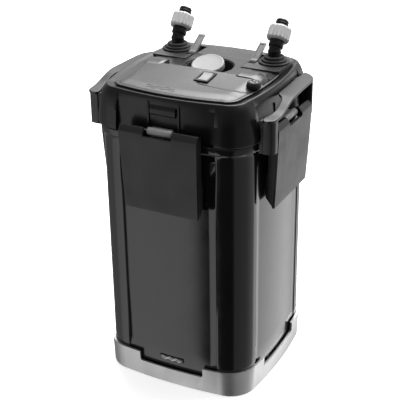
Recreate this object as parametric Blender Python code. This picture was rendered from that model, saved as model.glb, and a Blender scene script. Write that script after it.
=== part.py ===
"""Large external aquarium canister filter: square-round canister on a grey base tray, pump head held by four
latch plates, two carrying handles, two swivelling hose connectors with shut-off levers, a priming button, a
rocker switch and a flow knob. Inside: four media baskets, riser tube, motor, impeller and seal.
Units are metres, +Z is up, the front with the badge faces -Y, the origin is at the middle of the underside."""

import math

import bmesh
import bpy
import numpy as np
from mathutils import Matrix, Vector

MM = 0.001

# canister
TRAY_H = 40.0
TRAY = (120.0, 119.1, 41.0, 4.2)            # half width, half depth, corner radius, outward bow of the sides
CAN = (117.3, 116.4, 39.0, 4.2)
CAN_Z0, CAN_FLANGE_Z, CAN_TOP = 6.6, 376.0, 386.0
CAN_WALL = 3.4
PANEL_HALF = 71.0                            # half width of the recessed flat panels between the corner columns
# head
HEAD_Z0, RIM_Z = 387.5, 442.6
PORT = (76.0, 65.0)
NOZZLE_TILT = math.radians(38.0)
NECK_TOP, BEND_R = 458.5, 13.5               # height where the hose nozzle leaves the vertical, and the radius of its bend
HINGE_OFF, HINGE_Z = 127.0, 399.0            # latch hinge axis: distance from the middle, and height
PLATE_TOP, PLATE_BOTTOM = 137.5, 131.8       # outer face of a latch plate, distance from the middle
WELL = (0.0, 17.0, 34.5)                     # primer well: centre and radius
BUTTON_HINGE = (-12.0, 443.4)
BUTTON_R = 23.0
BUTTON_TILT = math.radians(16.0)
LEVER = (48.5, 58.0, 445.0)
LEVER_TILT = math.radians(60.0)
SWITCH = (21.5, -39.0)
KNOB = (91.0, -36.0)
MOTOR_Y = -56.0
GAP = 0.3

for old in list(bpy.data.objects):
    bpy.data.objects.remove(old)


def material(name, grey, rough, metal=0.0):
    m = bpy.data.materials.new(name)
    m.use_nodes = True
    shader = m.node_tree.nodes["Principled BSDF"]
    shader.inputs["Base Color"].default_value = (grey[0], grey[1], grey[2], 1.0)
    shader.inputs["Roughness"].default_value = rough
    shader.inputs["Metallic"].default_value = metal
    m.diffuse_color = (grey[0], grey[1], grey[2], 1.0)
    return m


def g(v):
    return (v, v, v)


def make(name, verts, faces, mat, smooth=False):
    """A mesh object from points in millimetres."""
    mesh = bpy.data.meshes.new(name)
    mesh.from_pydata([tuple(c * MM for c in v) for v in verts], [], [tuple(f) for f in faces])
    bm = bmesh.new()
    bm.from_mesh(mesh)
    bmesh.ops.recalc_face_normals(bm, faces=bm.faces)
    if bm.calc_volume(signed=True) < 0:
        bmesh.ops.reverse_faces(bm, faces=bm.faces)
    bm.to_mesh(mesh)
    bm.free()
    for p in mesh.polygons:
        p.use_smooth = smooth
    obj = bpy.data.objects.new(name, mesh)
    bpy.context.scene.collection.objects.link(obj)
    if mat is not None:
        mesh.materials.append(mat)
    return obj


def loft(name, rings, mat, smooth=False):
    """A closed body from rings of the same number of points; the first and last ring are capped."""
    n = len(rings[0])
    verts = [tuple(p) for ring in rings for p in ring]
    faces = []
    for i in range(len(rings) - 1):
        for j in range(n):
            k = (j + 1) % n
            faces.append((i * n + j, i * n + k, (i + 1) * n + k, (i + 1) * n + j))
    faces.append(tuple(range(n))[::-1])
    faces.append(tuple((len(rings) - 1) * n + j for j in range(n)))
    return make(name, verts, faces, mat, smooth)


def outline(a, b, r, bow, rec=0.0, nc=5, edge=PANEL_HALF):
    """Rounded rectangle with bowed sides, and with the middle of each side set back by rec."""
    ax, by = a - bow, b - bow
    pts = []
    for q in range(4):
        L = (ax if q in (0, 2) else by) - r
        H = by if q in (0, 2) else ax
        e = min(edge, L - 1.4)
        stations = [-e - 0.9, -e, -e * 0.66, -e * 0.33, 0.0, e * 0.33, e * 0.66, e, e + 0.9]
        for u in stations:
            inside = abs(u) <= e + 1e-9
            w = H + bow * (1 - (u / L) ** 2) - (rec if inside else 0.0)
            pts.append({0: (u, -w), 1: (w, u), 2: (-u, w), 3: (-w, -u)}[q])
        cx, cy = {0: (1, -1), 1: (1, 1), 2: (-1, 1), 3: (-1, -1)}[q]
        for k in range(nc + 1):
            t = math.radians(-90 + 90 * q + 90 * k / nc)
            pts.append((cx * (ax - r) + r * math.cos(t), cy * (by - r) + r * math.sin(t)))
    return pts


def plain_outline(a, b, r, bow, nc=4, sides=3):
    """The same rounded rectangle without set-back panels, in fewer points."""
    ax, by = a - bow, b - bow
    pts = []
    for q in range(4):
        L = (ax if q in (0, 2) else by) - r
        H = by if q in (0, 2) else ax
        for k in range(sides):
            u = L * (2.0 * (k + 1) / (sides + 1) - 1.0)
            w = H + bow * (1 - (u / L) ** 2)
            pts.append({0: (u, -w), 1: (w, u), 2: (-u, w), 3: (-w, -u)}[q])
        cx, cy = {0: (1, -1), 1: (1, 1), 2: (-1, 1), 3: (-1, -1)}[q]
        for k in range(nc + 1):
            t = math.radians(-90 + 90 * q + 90 * k / nc)
            pts.append((cx * (ax - r) + r * math.cos(t), cy * (by - r) + r * math.sin(t)))
    return pts


def ring(o, z):
    return [(x, y, z) for x, y in o]


def box(name, lo, hi, mat=None):
    x0, y0, z0 = lo
    x1, y1, z1 = hi
    v = [(x0, y0, z0), (x1, y0, z0), (x1, y1, z0), (x0, y1, z0), (x0, y0, z1), (x1, y0, z1), (x1, y1, z1), (x0, y1, z1)]
    f = [(0, 3, 2, 1), (4, 5, 6, 7), (0, 1, 5, 4), (1, 2, 6, 5), (2, 3, 7, 6), (3, 0, 4, 7)]
    return make(name, v, f, mat)


def prism(name, pts, z0, z1, mat=None):
    return loft(name, [[(x, y, z0) for x, y in pts], [(x, y, z1) for x, y in pts]], mat)


def side_prism(name, pts, x0, x1, mat=None):
    """pts are (y, z); the body runs from x0 to x1."""
    return loft(name, [[(x0, y, z) for y, z in pts], [(x1, y, z) for y, z in pts]], mat)


def lathe(name, profile, centre, mat=None, n=28, axis=(0, 0, 1), smooth=True, phase=0.0, lobes=None):
    """profile is (radius, height) along axis from centre; both ends are capped."""
    w = Vector(axis).normalized()
    u = w.orthogonal().normalized() if abs(w.x) > 0.5 else Vector((1, 0, 0))
    v = w.cross(u).normalized()
    u = v.cross(w).normalized()
    rings = []
    for r, h in profile:
        rr = []
        for k in range(n):
            t = 2 * math.pi * k / n + phase
            q = r if lobes is None else r * lobes(t)
            p = Vector(centre) + u * (q * math.cos(t)) + v * (q * math.sin(t)) + w * h
            rr.append((p.x, p.y, p.z))
        rings.append(rr)
    return loft(name, rings, mat, smooth)


def boolean(target, other, how):
    mod = target.modifiers.new(how, "BOOLEAN")
    mod.operation = how
    mod.solver = "EXACT"
    mod.object = other
    other.hide_render = True
    other.display_type = "WIRE"
    graph = bpy.context.evaluated_depsgraph_get()
    graph.update()
    done = bpy.data.meshes.new_from_object(target.evaluated_get(graph))
    target.modifiers.remove(mod)
    target.data = done
    bpy.data.objects.remove(other)
    return target


def cut(target, *others):
    for other in others:
        boolean(target, other, "DIFFERENCE")
    return target


def join(target, *others):
    for other in others:
        boolean(target, other, "UNION")
    return target


def turned(obj, quarter, name=None):
    """Turns a body made for the front by quarter turns about the vertical axis."""
    obj.data.transform(Matrix.Rotation(math.radians(90 * quarter), 4, "Z"))
    if name:
        obj.name = name
    return obj


def mirrored(points):
    return [(-x, y) for x, y in points][::-1]


def pivot(obj, x, y, z):
    """Puts a moving piece's origin on the axis it turns about."""
    p = Vector((x, y, z)) * MM
    obj.data.transform(Matrix.Translation(-p))
    obj.location = p
    return obj


TRAY_MAT = material("satin grey tray", g(0.33), 0.42, 0.0)
GLOSS = material("gloss black canister", g(0.012), 0.14)
SATIN = material("satin black head", g(0.022), 0.42)
COVER = material("satin black cover", g(0.03), 0.36)
HANDLE = material("matt black handle", g(0.035), 0.5)
PLATE = material("fine grained latch", g(0.04), 0.48)
GREY = material("mid grey plastic", g(0.3), 0.4)
LIGHT = material("light grey plastic", g(0.62), 0.42)
RUBBER = material("black rubber", g(0.015), 0.7)
STEEL = material("stainless steel", g(0.6), 0.25, 1.0)
BASKET = material("smoke grey basket", g(0.08), 0.35)
FOAM = material("blue foam", (0.05, 0.16, 0.3), 0.95)
CERAMIC = material("ceramic media", (0.62, 0.55, 0.45), 0.9)
FLEECE = material("white fleece", g(0.75), 0.95)
MOTOR = material("motor housing", g(0.05), 0.4)

# ---------------------------------------------------------------- canister
a, b, r, bow = TRAY
ci = (CAN[0] + 0.45, CAN[1] + 0.45, CAN[2] + 0.45, CAN[3])
tray = loft("base_tray", [
    ring(plain_outline(a - 1.2, b - 1.2, r - 1.2, bow, 5, 5), 0.0),
    ring(plain_outline(a, b, r, bow, 5, 5), 1.6),
    ring(plain_outline(a + 1.0, b + 1.0, r + 1.0, bow, 5, 5), TRAY_H - 1.0),
    ring(plain_outline(a + 0.2, b + 0.2, r + 0.2, bow, 5, 5), TRAY_H),
    ring(plain_outline(*ci, 5, 5), TRAY_H),
    ring(plain_outline(*ci, 5, 5), 6.0)], TRAY_MAT)
NOTCH = [(-51.4, 60.0), (-51.0, 27.4), (-49.2, 25.6), (49.2, 25.6), (51.0, 27.4), (51.4, 60.0)]
cut(tray,
    loft("c1", [[(x, -130.0, z) for x, z in NOTCH], [(x, 130.0, z) for x, z in NOTCH]], None),
    loft("c2", [[(-130.0, x, z) for x, z in NOTCH], [(130.0, x, z) for x, z in NOTCH]], None))
for i, (sx, sy) in enumerate(((-1, -1), (1, -1), (1, 1), (-1, 1))):
    name = ("foot_front_left", "foot_front_right", "foot_back_right", "foot_back_left")[i]
    cut(tray, lathe("c", [(12.0, -5.0), (12.0, 2.4)], (sx * 84.0, sy * 84.0, 0.0), None, 16))
    lathe(name, [(11.0, 0.0), (11.6, 0.6), (11.6, 2.0)], (sx * 84.0, sy * 84.0, 0.0), RUBBER, 16)


def can_outline(inset=0.0, rec=1.4):
    return outline(CAN[0] - inset, CAN[1] - inset, CAN[2] - inset, CAN[3], rec)


canister = loft("canister_body", [
    ring(can_outline(2.0), CAN_Z0),
    ring(can_outline(0.0), CAN_Z0 + 2.5),
    ring(can_outline(0.0), 366.0),
    ring(can_outline(-0.6, 0.3), CAN_FLANGE_Z - 1.0),
    ring(can_outline(-3.4, 0.0), CAN_FLANGE_Z),
    ring(can_outline(-3.4, 0.0), CAN_TOP - 0.8),
    ring(can_outline(-2.6, 0.0), CAN_TOP),
    ring(can_outline(CAN_WALL, 0.0), CAN_TOP),
    ring(can_outline(CAN_WALL + 1.6, 0.0), 370.0),
    ring(can_outline(CAN_WALL + 1.6, 0.0), CAN_Z0 + 6.0)], GLOSS)
badge_out = [(-18.0, 37.4), (18.0, 37.4), (19.4, 38.8), (19.4, 43.2), (18.0, 44.6), (-18.0, 44.6), (-19.4, 43.2), (-19.4, 38.8)]
badge = loft("front_badge", [[(x, -y, z) for x, z in ((x * g_, 41.0 + (z - 41.0) * g_) for x, z in badge_out)] for y, g_ in ((115.3, 1.0), (116.3, 1.0), (116.7, 0.975))], LIGHT)

# media baskets: square-round trays stacked on each other, with a corner left free for the riser tube
BASKET_Z = (14.0, 94.0, 174.0, 254.0)
BASKET_H = 77.0
for i, z in enumerate(BASKET_Z):
    o = lambda inset: plain_outline(108.0 - inset, 107.0 - inset, 30.0, 4.0, 3)
    bk = loft("media_basket_%d" % (i + 1), [
        ring(o(3.0), z), ring(o(1.0), z + BASKET_H - 7.0), ring(o(0.0), z + BASKET_H - 7.0), ring(o(0.0), z + BASKET_H),
        ring(o(3.0), z + BASKET_H), ring(o(5.0), z + 2.5)], BASKET)
    cut(bk, lathe("c", [(17.5, -1.0), (17.5, BASKET_H + 2.0)], (0.0, 0.0, z), None, 16))
    for k in (-1, 1):
        for m in (-1, 1):
            cut(bk, box("c", (m * 52.0 - 26.0, k * 52.0 - 6.0, z - 1.0), (m * 52.0 + 26.0, k * 52.0 + 6.0, z + 4.0)))
    media = loft(("coarse_foam_block", "ceramic_media_block", "fine_foam_block", "polishing_fleece_block")[i], [
        ring(plain_outline(100.5, 99.5, 24.0, 4.0, 3), z + 3.2), ring(plain_outline(100.5, 99.5, 24.0, 4.0, 3), z + BASKET_H - 9.0)],
        (FOAM, CERAMIC, FOAM, FLEECE)[i])
    cut(media, lathe("c", [(17.5, -1.0), (17.5, BASKET_H + 2.0)], (0.0, 0.0, z), None, 16))
riser = lathe("riser_tube", [(13.0, 0.0), (13.0, 330.0), (15.5, 333.0), (15.5, 336.0), (13.0, 338.0), (13.0, 358.2), (11.0, 358.2), (11.0, 3.0)],
              (0.0, 0.0, 13.2), BASKET, 20)

# ---------------------------------------------------------------- head
HEAD_RINGS = (                                # height, half width, half depth, corner radius, bow, panel recess
    (HEAD_Z0, 123.2, 122.4, 43.0, 4.5, 6.0),
    (HEAD_Z0 + 3.5, 124.0, 123.2, 43.5, 4.6, 6.0),
    (400.0, 122.8, 122.6, 40.5, 5.0, 5.6),
    (418.0, 119.5, 121.0, 35.5, 5.6, 3.8),
    (430.0, 116.5, 119.3, 31.0, 6.6, 2.2),
    (437.0, 113.8, 117.6, 27.5, 7.4, 0.8),
    (441.0, 111.7, 116.0, 25.2, 8.0, 0.0),
    (RIM_Z, 110.1, 114.6, 23.8, 8.0, 0.0),
    (RIM_Z, 108.2, 112.7, 22.4, 8.0, 0.0),
    (441.2, 102.2, 106.8, 21.6, 7.6, 0.0),
    (440.2, 100.6, 105.2, 21.0, 7.6, 0.0),
)
inner = [(HEAD_Z0, 120.2, 119.4, 40.5, 4.5), (402.0, 116.5, 116.4, 39.0, 5.0), (418.0, 112.2, 113.8, 35.0, 5.6), (434.0, 105.0, 109.0, 28.0, 6.5)]
rings = [ring(outline(*h[1:6]), h[0]) for h in reversed(HEAD_RINGS)]
rings += [ring(outline(h[1], h[2], h[3], h[4], 3.2 if i == 0 else (2.4 if i == 1 else 0.6 if i == 2 else 0.0)), h[0]) for i, h in enumerate(inner)]
head = loft("head_housing", rings, SATIN)
cut(head, lathe("c", [(WELL[2] + 0.4, 420.0), (WELL[2] + 0.4, 450.0)], (WELL[0], WELL[1], 0.0), None, 36))

TAP_IN, TAP_OUT, TAP_FRONT, TAP_BACK = 43.5, 98.0, 27.5, 97.0


def tap_shape(side, grow):
    x0, x1, y0, y1, c = TAP_IN - grow, TAP_OUT + grow, TAP_FRONT - grow, TAP_BACK + grow, 24.0
    pts = [(x0, y0), (x1 - 3.0, y0), (x1, y0 + 3.0)]
    for k in range(7):
        t = math.radians(90.0 * k / 6)
        pts.append((x1 - c - grow * 0 + c * math.cos(t), y1 - c + c * math.sin(t)))
    pts.append((x0, y1))
    return pts if side > 0 else mirrored(pts)


for side, word in ((-1, "left"), (1, "right")):
    cut(head, prism("c", tap_shape(side, 0.4), 425.0, 450.0))

# the front and back of the head have a pocket with two upright rails and a catch lip above the latch; the sides have the rails alone
for q in range(4):
    off, top = (0.0, 436.0) if q in (0, 2) else (1.2, 424.0)
    rails = []
    if q in (0, 2):
        rails.append(turned(side_prism("lip", [(-112.0, 419.0), (-118.6, 419.6), (-120.2, 422.0), (-120.0, 428.0), (-117.6, 431.4), (-112.0, 433.0)], -18.2, 18.2), q))
    for s in (-1, 1):
        rail = side_prism("rail", [(-112.0 + off, 392.0), (-118.4 + off, 392.0), (-119.4 + off, 398.0), (-118.0 + off, top), (-112.0 + off, top)], s * 22.4 - 1.1, s * 22.4 + 1.1)
        rails.append(turned(rail, q))
    join(head, *rails)


def dome(name, inset, fn, z0, mat, nr=5):
    """A slab over the top of the head, with its upper face at height fn(x, y)."""
    base = plain_outline(100.0 - inset, 104.6 - inset, 20.6, 7.6, 4, 5)
    n = len(base)
    verts, faces = [], []
    for k in range(nr):
        s = 1.0 - k / nr
        verts += [(x * s, y * s, fn(x * s, y * s, s)) for x, y in base]
    top = len(verts)
    verts.append((0.0, 0.0, fn(0.0, 0.0, 0.0)))
    for k in range(nr - 1):
        for j in range(n):
            m = (j + 1) % n
            faces.append((k * n + j, k * n + m, (k + 1) * n + m, (k + 1) * n + j))
    for j in range(n):
        faces.append(((nr - 1) * n + j, (nr - 1) * n + (j + 1) % n, top))
    low = len(verts)
    verts += [(x, y, z0) for x, y in base]
    for j in range(n):
        m = (j + 1) % n
        faces.append((low + j, low + m, m, j))
    faces.append(tuple(range(low, low + n)))
    return make(name, verts, faces, mat)


def front_height(x, y, s):
    rise = max(0.0, min(1.0, (y + 105.0) / 88.0))
    edge = min(1.0, (1.0 - s) / 0.2) if s > 0.8 else 1.0
    return 443.4 + edge * (1.2 + 8.6 * rise ** 1.15 * (1.0 - 0.25 * (abs(x) / 100.0) ** 2))


def rear_height(x, y, s):
    return 443.4 + (2.6 if s < 0.95 else 0.6) + 1.0 * (1.0 - s)


RIDGE_Y = -17.0
COVER_Z0 = 440.6
front_cover = dome("control_cover", 0.0, front_height, COVER_Z0, COVER, 6)
cut(front_cover, box("c", (-140.0, RIDGE_Y, 420.0), (140.0, 140.0, 480.0)))
rear_cover = dome("rear_cover", 0.0, rear_height, COVER_Z0, COVER, 5)
cut(rear_cover, box("c", (-140.0, -140.0, 420.0), (140.0, RIDGE_Y + GAP, 480.0)),
    lathe("c", [(WELL[2] + 0.4, 420.0), (WELL[2] + 0.4, 460.0)], (WELL[0], WELL[1], 0.0), None, 36))
cut(front_cover, lathe("c", [(WELL[2] + 0.4, 420.0), (WELL[2] + 0.4, 446.6)], (WELL[0], WELL[1], 0.0), None, 36))
# the control cover reaches back between the ridge's ends and the tap blocks as two broad humps
for side in (-1, 1):
    x0, x1 = sorted((side * 56.5, side * 95.5))
    cut(rear_cover, prism("c", tap_shape(side, 1.5), 425.0, 470.0), box("c", (x0 - 1.2, -40.0, 420.0), (x1 + 1.2, 5.2, 470.0)))
    hump = loft("hump", [[(x, y, z) for x, y in ((x0, -24.0), (x1, -24.0), (x1, 4.0), (x0, 4.0))] for z in (441.2, 448.6)] +
                [[(x, y, z) for x, y, z in ((x0 + 2, -23.0, 449.6), (x1 - 3, -23.0, 448.0), (x1 - 3, 1.0, 450.6), (x0 + 2, 1.0, 451.8))]], None)
    join(front_cover, hump)
# switch opening and knob recess in the cover
cut(front_cover, box("c", (SWITCH[0] - 10.8, SWITCH[1] - 15.8, 420.0), (SWITCH[0] + 10.8, SWITCH[1] + 15.8, 480.0)),
    lathe("c", [(10.2, 444.4), (10.2, 470.0)], (KNOB[0], KNOB[1], 0.0), None, 24))

# primer cylinder, button
primer = lathe("primer_cylinder", [(WELL[2], 402.0), (WELL[2], 445.4), (WELL[2] - 1.5, 445.4), (WELL[2] - 1.5, 404.0)], (WELL[0], WELL[1], 0.0), RUBBER, 36)
cut(primer, box("c", (-30.0, -40.0, 440.2), (30.0, RIDGE_Y + 6.0, 460.0)))
ct, st = math.cos(BUTTON_TILT), math.sin(BUTTON_TILT)
button = lathe("primer_button", [(BUTTON_R - 3.8, -10.0), (BUTTON_R, -8.0), (BUTTON_R, -1.4), (BUTTON_R - 1.4, 0.0)],
               (0.0, BUTTON_HINGE[0] + (BUTTON_R + 0.8) * ct - 2.0 * st, BUTTON_HINGE[1] + (BUTTON_R + 0.8) * st + 2.0 * ct), LIGHT, 40, (0.0, -st, ct))
pivot(button, 0.0, BUTTON_HINGE[0], BUTTON_HINGE[1])

# tap blocks, levers, swivel collars, elbows and nuts
ux, uz = math.sin(NOZZLE_TILT), math.cos(NOZZLE_TILT)
for side, word in ((-1, "left"), (1, "right")):
    px, py = side * PORT[0], PORT[1]
    block = prism("tap_block_" + word, tap_shape(side, 0.0), 428.0, 447.4, HANDLE)
    sx = sorted((side * (TAP_IN + 0.0) - side * 5.0, side * 54.2))
    cut(block, box("c", (sx[0], 47.0, 436.0), (sx[1], 120.0, 460.0)),
        lathe("c", [(10.4, 430.0), (10.4, 460.0)], (px, py, 0.0), None, 24))
    collar = lathe("swivel_collar_" + word, [(21.8, 447.8), (21.8, 449.6), (17.6, 450.2), (17.6, 452.6), (14.4, 453.4), (14.4, 456.2), (12.2, 457.2)],
                   (px, py, 0.0), RUBBER, 24)
    cut(collar, lathe("c", [(9.1, 440.0), (9.1, 470.0)], (px, py, 0.0), None, 24))
    # elbow: neck, short bend, hose barb with a blind bore
    path, n = [], 18
    for z in (431.0, 432.0, NECK_TOP):
        path.append(((py, z), (0.0, 1.0), 8.4 if z == 431.0 else 8.7))
    for k in range(1, 6):
        t = NOZZLE_TILT * k / 5
        path.append(((py + BEND_R * (1 - math.cos(t)), NECK_TOP + BEND_R * math.sin(t)), (math.sin(t), math.cos(t)), 8.7))
    ey, ez = path[-1][0]
    barb = [(0.6, 10.4), (9.2, 10.4), (9.6, 8.2), (30.6, 8.2), (31.2, 9.35), (34.2, 8.3), (34.8, 9.35), (37.8, 8.3), (38.4, 9.2), (41.4, 8.0), (41.4, 6.2), (16.0, 6.2)]
    for s, rad in barb:
        path.append(((ey + ux * s, ez + uz * s), (ux, uz), rad))
    rings = []
    for (cy, cz), (dy, dz), rad in path:
        rings.append([(px + rad * math.cos(2 * math.pi * k / n), cy + dz * rad * math.sin(2 * math.pi * k / n), cz - dy * rad * math.sin(2 * math.pi * k / n)) for k in range(n)])
    loft("hose_elbow_" + word, rings, SATIN, True)

    def flats(t):
        t = (t % (math.pi / 3)) - math.pi / 6
        return min(1.0, 0.905 / math.cos(t)) * (1.0 if abs(t) > 0.42 or abs(t) < 0.06 or 0.2 < abs(t) < 0.3 else 0.975)

    N0 = 10.4
    nut = lathe("hose_nut_" + word, [(14.8, N0), (17.1, N0 + 2.4), (17.1, N0 + 18.4), (14.9, N0 + 20.4)], (px, ey, ez), GREY, 48, (0.0, ux, uz), False, 0.0, flats)
    cut(nut, lathe("c", [(10.2, N0 - 5.0), (10.2, N0 + 26.0)], (px, ey, ez), None, 24, (0.0, ux, uz)))
    # lever: hub with a blade leaning back
    lx, ly, lz = side * LEVER[0], LEVER[1], LEVER[2]
    pivot(bpy.data.objects["hose_elbow_" + word], px, py, 455.0)
    pivot(nut, px, ey, ez)
    lever = lathe("tap_lever_" + word, [(4.6, -4.9), (4.6, 4.9)], (lx, ly, lz), GREY, 20, (1.0, 0.0, 0.0))
    sl, cl = math.sin(LEVER_TILT), math.cos(LEVER_TILT)
    P = lambda along, up: (ly + sl * along - cl * up, lz + cl * along + sl * up)
    join(lever, side_prism("blade", [P(0.0, -1.5), P(36.0, -1.0), P(38.0, 0.4), P(37.0, 1.8), P(0.0, 2.6)], lx - 5.0, lx + 5.0))
    pivot(lever, lx, ly, lz)

# switch, knob
sw = box("switch_frame", (SWITCH[0] - 10.4, SWITCH[1] - 15.4, 441.2), (SWITCH[0] + 10.4, SWITCH[1] + 15.4, 452.6), SATIN)
cut(sw, side_prism("c", [(SWITCH[1] - 20.0, 450.0), (SWITCH[1] + 20.0, 453.6), (SWITCH[1] + 20.0, 470.0), (SWITCH[1] - 20.0, 470.0)], SWITCH[0] - 15.0, SWITCH[0] + 15.0),
    box("c", (SWITCH[0] - 7.6, SWITCH[1] - 12.2, 443.6), (SWITCH[0] + 7.6, SWITCH[1] + 12.2, 470.0)))
rk = side_prism("switch_rocker", [(SWITCH[1] + y, z) for y, z in ((-10.6, 447.4), (0.0, 445.0), (10.6, 447.4), (10.6, 453.4), (5.0, 451.8), (0.0, 450.9), (-5.0, 450.4), (-10.6, 450.4))],
                SWITCH[0] - 7.2, SWITCH[0] + 7.2, GREY)
pivot(rk, SWITCH[0], SWITCH[1], 448.5)
knob = lathe("flow_knob", [(9.3, 445.0), (9.3, 451.0), (8.7, 451.6), (8.7, 452.6), (7.9, 453.4)], (KNOB[0], KNOB[1], 0.0), GREY, 36)
pivot(knob, KNOB[0], KNOB[1], 450.0)

# handles: a thin ledge that rises from the front leg and runs back along the head, on two legs
LEDGE = (                                     # y, inner x, outer x, height of the top
    (-82.0, 126.0, 132.0, 420.3), (-80.4, 124.0, 136.6, 420.8), (-76.5, 122.8, 139.6, 421.3), (-70.0, 123.8, 140.8, 421.6), (-60.0, 126.6, 141.2, 422.2),
    (-50.0, 128.4, 141.2, 424.2), (-40.0, 128.6, 141.0, 427.4), (-30.0, 127.4, 140.6, 430.4), (-22.0, 124.4, 140.2, 432.0), (-16.5, 121.0, 140.0, 432.7),
    (-12.5, 116.6, 139.8, 433.0), (-6.0, 115.0, 139.6, 433.0), (20.0, 114.6, 138.4, 433.0), (45.0, 112.8, 137.4, 432.6), (58.0, 112.2, 136.6, 432.2),
    (67.0, 112.9, 134.4, 431.8), (74.0, 113.0, 130.8, 431.4), (80.0, 112.9, 126.0, 431.0), (84.6, 112.4, 120.4, 430.8), (87.0, 112.0, 115.8, 430.6))
for side, word in ((1, "right"), (-1, "left")):
    flip = (lambda p: p) if side > 0 else mirrored
    hd = loft("handle_" + word, [[(side * x, y, z) for x, z in ((x0, zt - 3.8), (x1 - 1.0, zt - 3.8), (x1, zt - 2.6), (x1, zt - 1.0), (x1 - 1.2, zt), (x0, zt))] for y, x0, x1, zt in LEDGE], HANDLE)
    front_leg = [(123.4, -80.4), (136.0, -79.4), (139.6, -75.4), (140.2, -67.0), (132.4, -66.4), (125.0, -66.4), (123.4, -72.0)]
    back_leg = [(127.0, 58.0), (136.2, 58.0), (135.9, 61.6), (134.0, 67.0), (130.6, 72.6), (127.0, 74.0)]
    join(hd, prism("leg", flip(front_leg), 373.4, 419.0), prism("leg", flip(back_leg), 384.0, 429.6),
         prism("tie", flip([(118.8, -79.6), (126.0, -79.6), (126.0, -69.0), (118.8, -69.0)]), 373.4, 386.9),
         prism("tie", flip([(118.8, 60.0), (129.0, 60.0), (129.0, 71.0), (118.8, 71.0)]), 384.0, 386.9),
         prism("web", flip([(120.8, -79.0), (126.0, -79.0), (126.0, -69.4), (120.8, -69.4)]), 374.0, 418.6),
         prism("web", flip([(118.8, -78.6), (126.0, -78.6), (126.0, -69.8), (118.8, -69.8)]), 407.0, 418.4),
         prism("web", flip([(120.8, 60.4), (129.0, 60.4), (129.0, 70.6), (120.8, 70.6)]), 384.4, 429.4),
         prism("web", flip([(118.8, 60.8), (129.0, 60.8), (129.0, 70.2), (118.8, 70.2)]), 407.0, 429.2))
# latches: hinge knuckle, pin and plate, one set on each face
for q, word in enumerate(("front", "right", "back", "left")):
    knuckle = lathe("latch_knuckle_" + word, [(4.6, -17.9), (5.2, -17.3), (5.2, 17.3), (4.6, 17.9)], (0.0, -HINGE_OFF, HINGE_Z), GREY, 20, (1.0, 0.0, 0.0))
    off = 0.0 if q in (0, 2) else 1.2
    join(knuckle, box("neck", (-15.0, -HINGE_OFF, HINGE_Z - 3.4), (15.0, -118.9 + off, HINGE_Z + 3.4)))
    cut(knuckle, lathe("c", [(1.8, -30.0), (1.8, 30.0)], (0.0, -HINGE_OFF, HINGE_Z), None, 12, (1.0, 0.0, 0.0)))
    turned(knuckle, q)
    turned(lathe("latch_pin_" + word, [(1.5, -56.0), (1.5, 56.0)], (0.0, -HINGE_OFF, HINGE_Z), STEEL, 12, (1.0, 0.0, 0.0)), q)
    T, B = PLATE_TOP, PLATE_BOTTOM
    # face slab: wider at the top, leaning in towards the bottom, with a bevelled head
    w0, w1 = 57.6, 54.8
    slab = loft("latch_plate_" + word, [
        [(-w1, -B + 1.2, 284.4), (w1, -B + 1.2, 284.4), (w1, -B + 4.0, 284.4), (-w1, -B + 4.0, 284.4)],
        [(-w1 - 0.2, -B, 286.4), (w1 + 0.2, -B, 286.4), (w1 + 0.2, -B + 4.0, 286.4), (-w1 - 0.2, -B + 4.0, 286.4)],
        [(-w0, -T, 397.0), (w0, -T, 397.0), (w0, -T + 4.2, 397.0), (-w0, -T + 4.2, 397.0)],
        [(-w0, -T + 5.0, 404.4), (w0, -T + 5.0, 404.4), (w0, -T + 6.6, 404.4), (-w0, -T + 6.6, 404.4)]], PLATE)
    for s in (-1, 1):
        x0, x1 = sorted((s * 54.4, s * 57.0))
        cheek = side_prism("cheek", [(-T + 2.0, 397.0), (-T + 5.6, 403.0), (-T + 8.0, 403.8), (-T + 14.6, 401.0), (-T + 14.6, 389.0), (-122.6, 386.0), (-122.6, 340.0), (-119.6, 330.0), (-119.4, 300.0), (-B + 2.0, 287.0)], x0, x1)
        join(slab, cheek)
        x0, x1 = sorted((s * 24.0, s * 27.0))
        join(slab, side_prism("rib", [(-T + 2.4, 397.0), (-T + 5.6, 403.4), (-T + 8.0, 403.8), (-T + 14.0, 401.4), (-T + 14.0, 394.0), (-T + 3.4, 386.0)], x0, x1))
    cut(slab, box("c", (-21.4, -150.0, 393.2), (21.4, -110.0, 420.0)))
    cut(slab, lathe("c", [(1.85, -70.0), (1.85, 70.0)], (0.0, -HINGE_OFF, HINGE_Z), None, 12, (1.0, 0.0, 0.0)))
    # catch nose behind the face, reaching under the canister's flange
    nose = side_prism("nose", [(-T + 2.6, 360.0), (-T + 2.6, 372.0), (-121.4, 374.8), (-121.0, 371.0), (-T + 8.0, 364.0)], -30.0, 30.0)
    join(slab, nose)
    turned(slab, q)
    pivot(slab, *((0.0, -HINGE_OFF), (HINGE_OFF, 0.0), (0.0, HINGE_OFF), (-HINGE_OFF, 0.0))[q], HINGE_Z)

# inside the head: partition plate, seal, motor, impeller, volute, cable gland
plate = loft("head_partition", [
    ring(plain_outline(109.0, 108.1, 33.0, 4.2, 4), 372.0), ring(plain_outline(110.6, 109.7, 34.0, 4.2, 4), 373.6),
    ring(plain_outline(110.6, 109.7, 34.0, 4.2, 4), 376.0), ring(plain_outline(107.6, 106.7, 31.0, 4.2, 4), 376.0),
    ring(plain_outline(107.6, 106.7, 31.0, 4.2, 4), 380.8), ring(plain_outline(110.6, 109.7, 34.0, 4.2, 4), 380.8),
    ring(plain_outline(110.6, 109.7, 34.0, 4.2, 4), 385.8)], SATIN)
cut(plate, lathe("c", [(14.6, 360.0), (14.6, 400.0)], (0.0, 60.0, 0.0), None, 16),
    lathe("c", [(3.0, 360.0), (3.0, 400.0)], (0.0, MOTOR_Y, 0.0), None, 16))
seal_out = plain_outline(112.0, 111.1, 35.0, 4.2, 4)
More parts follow.
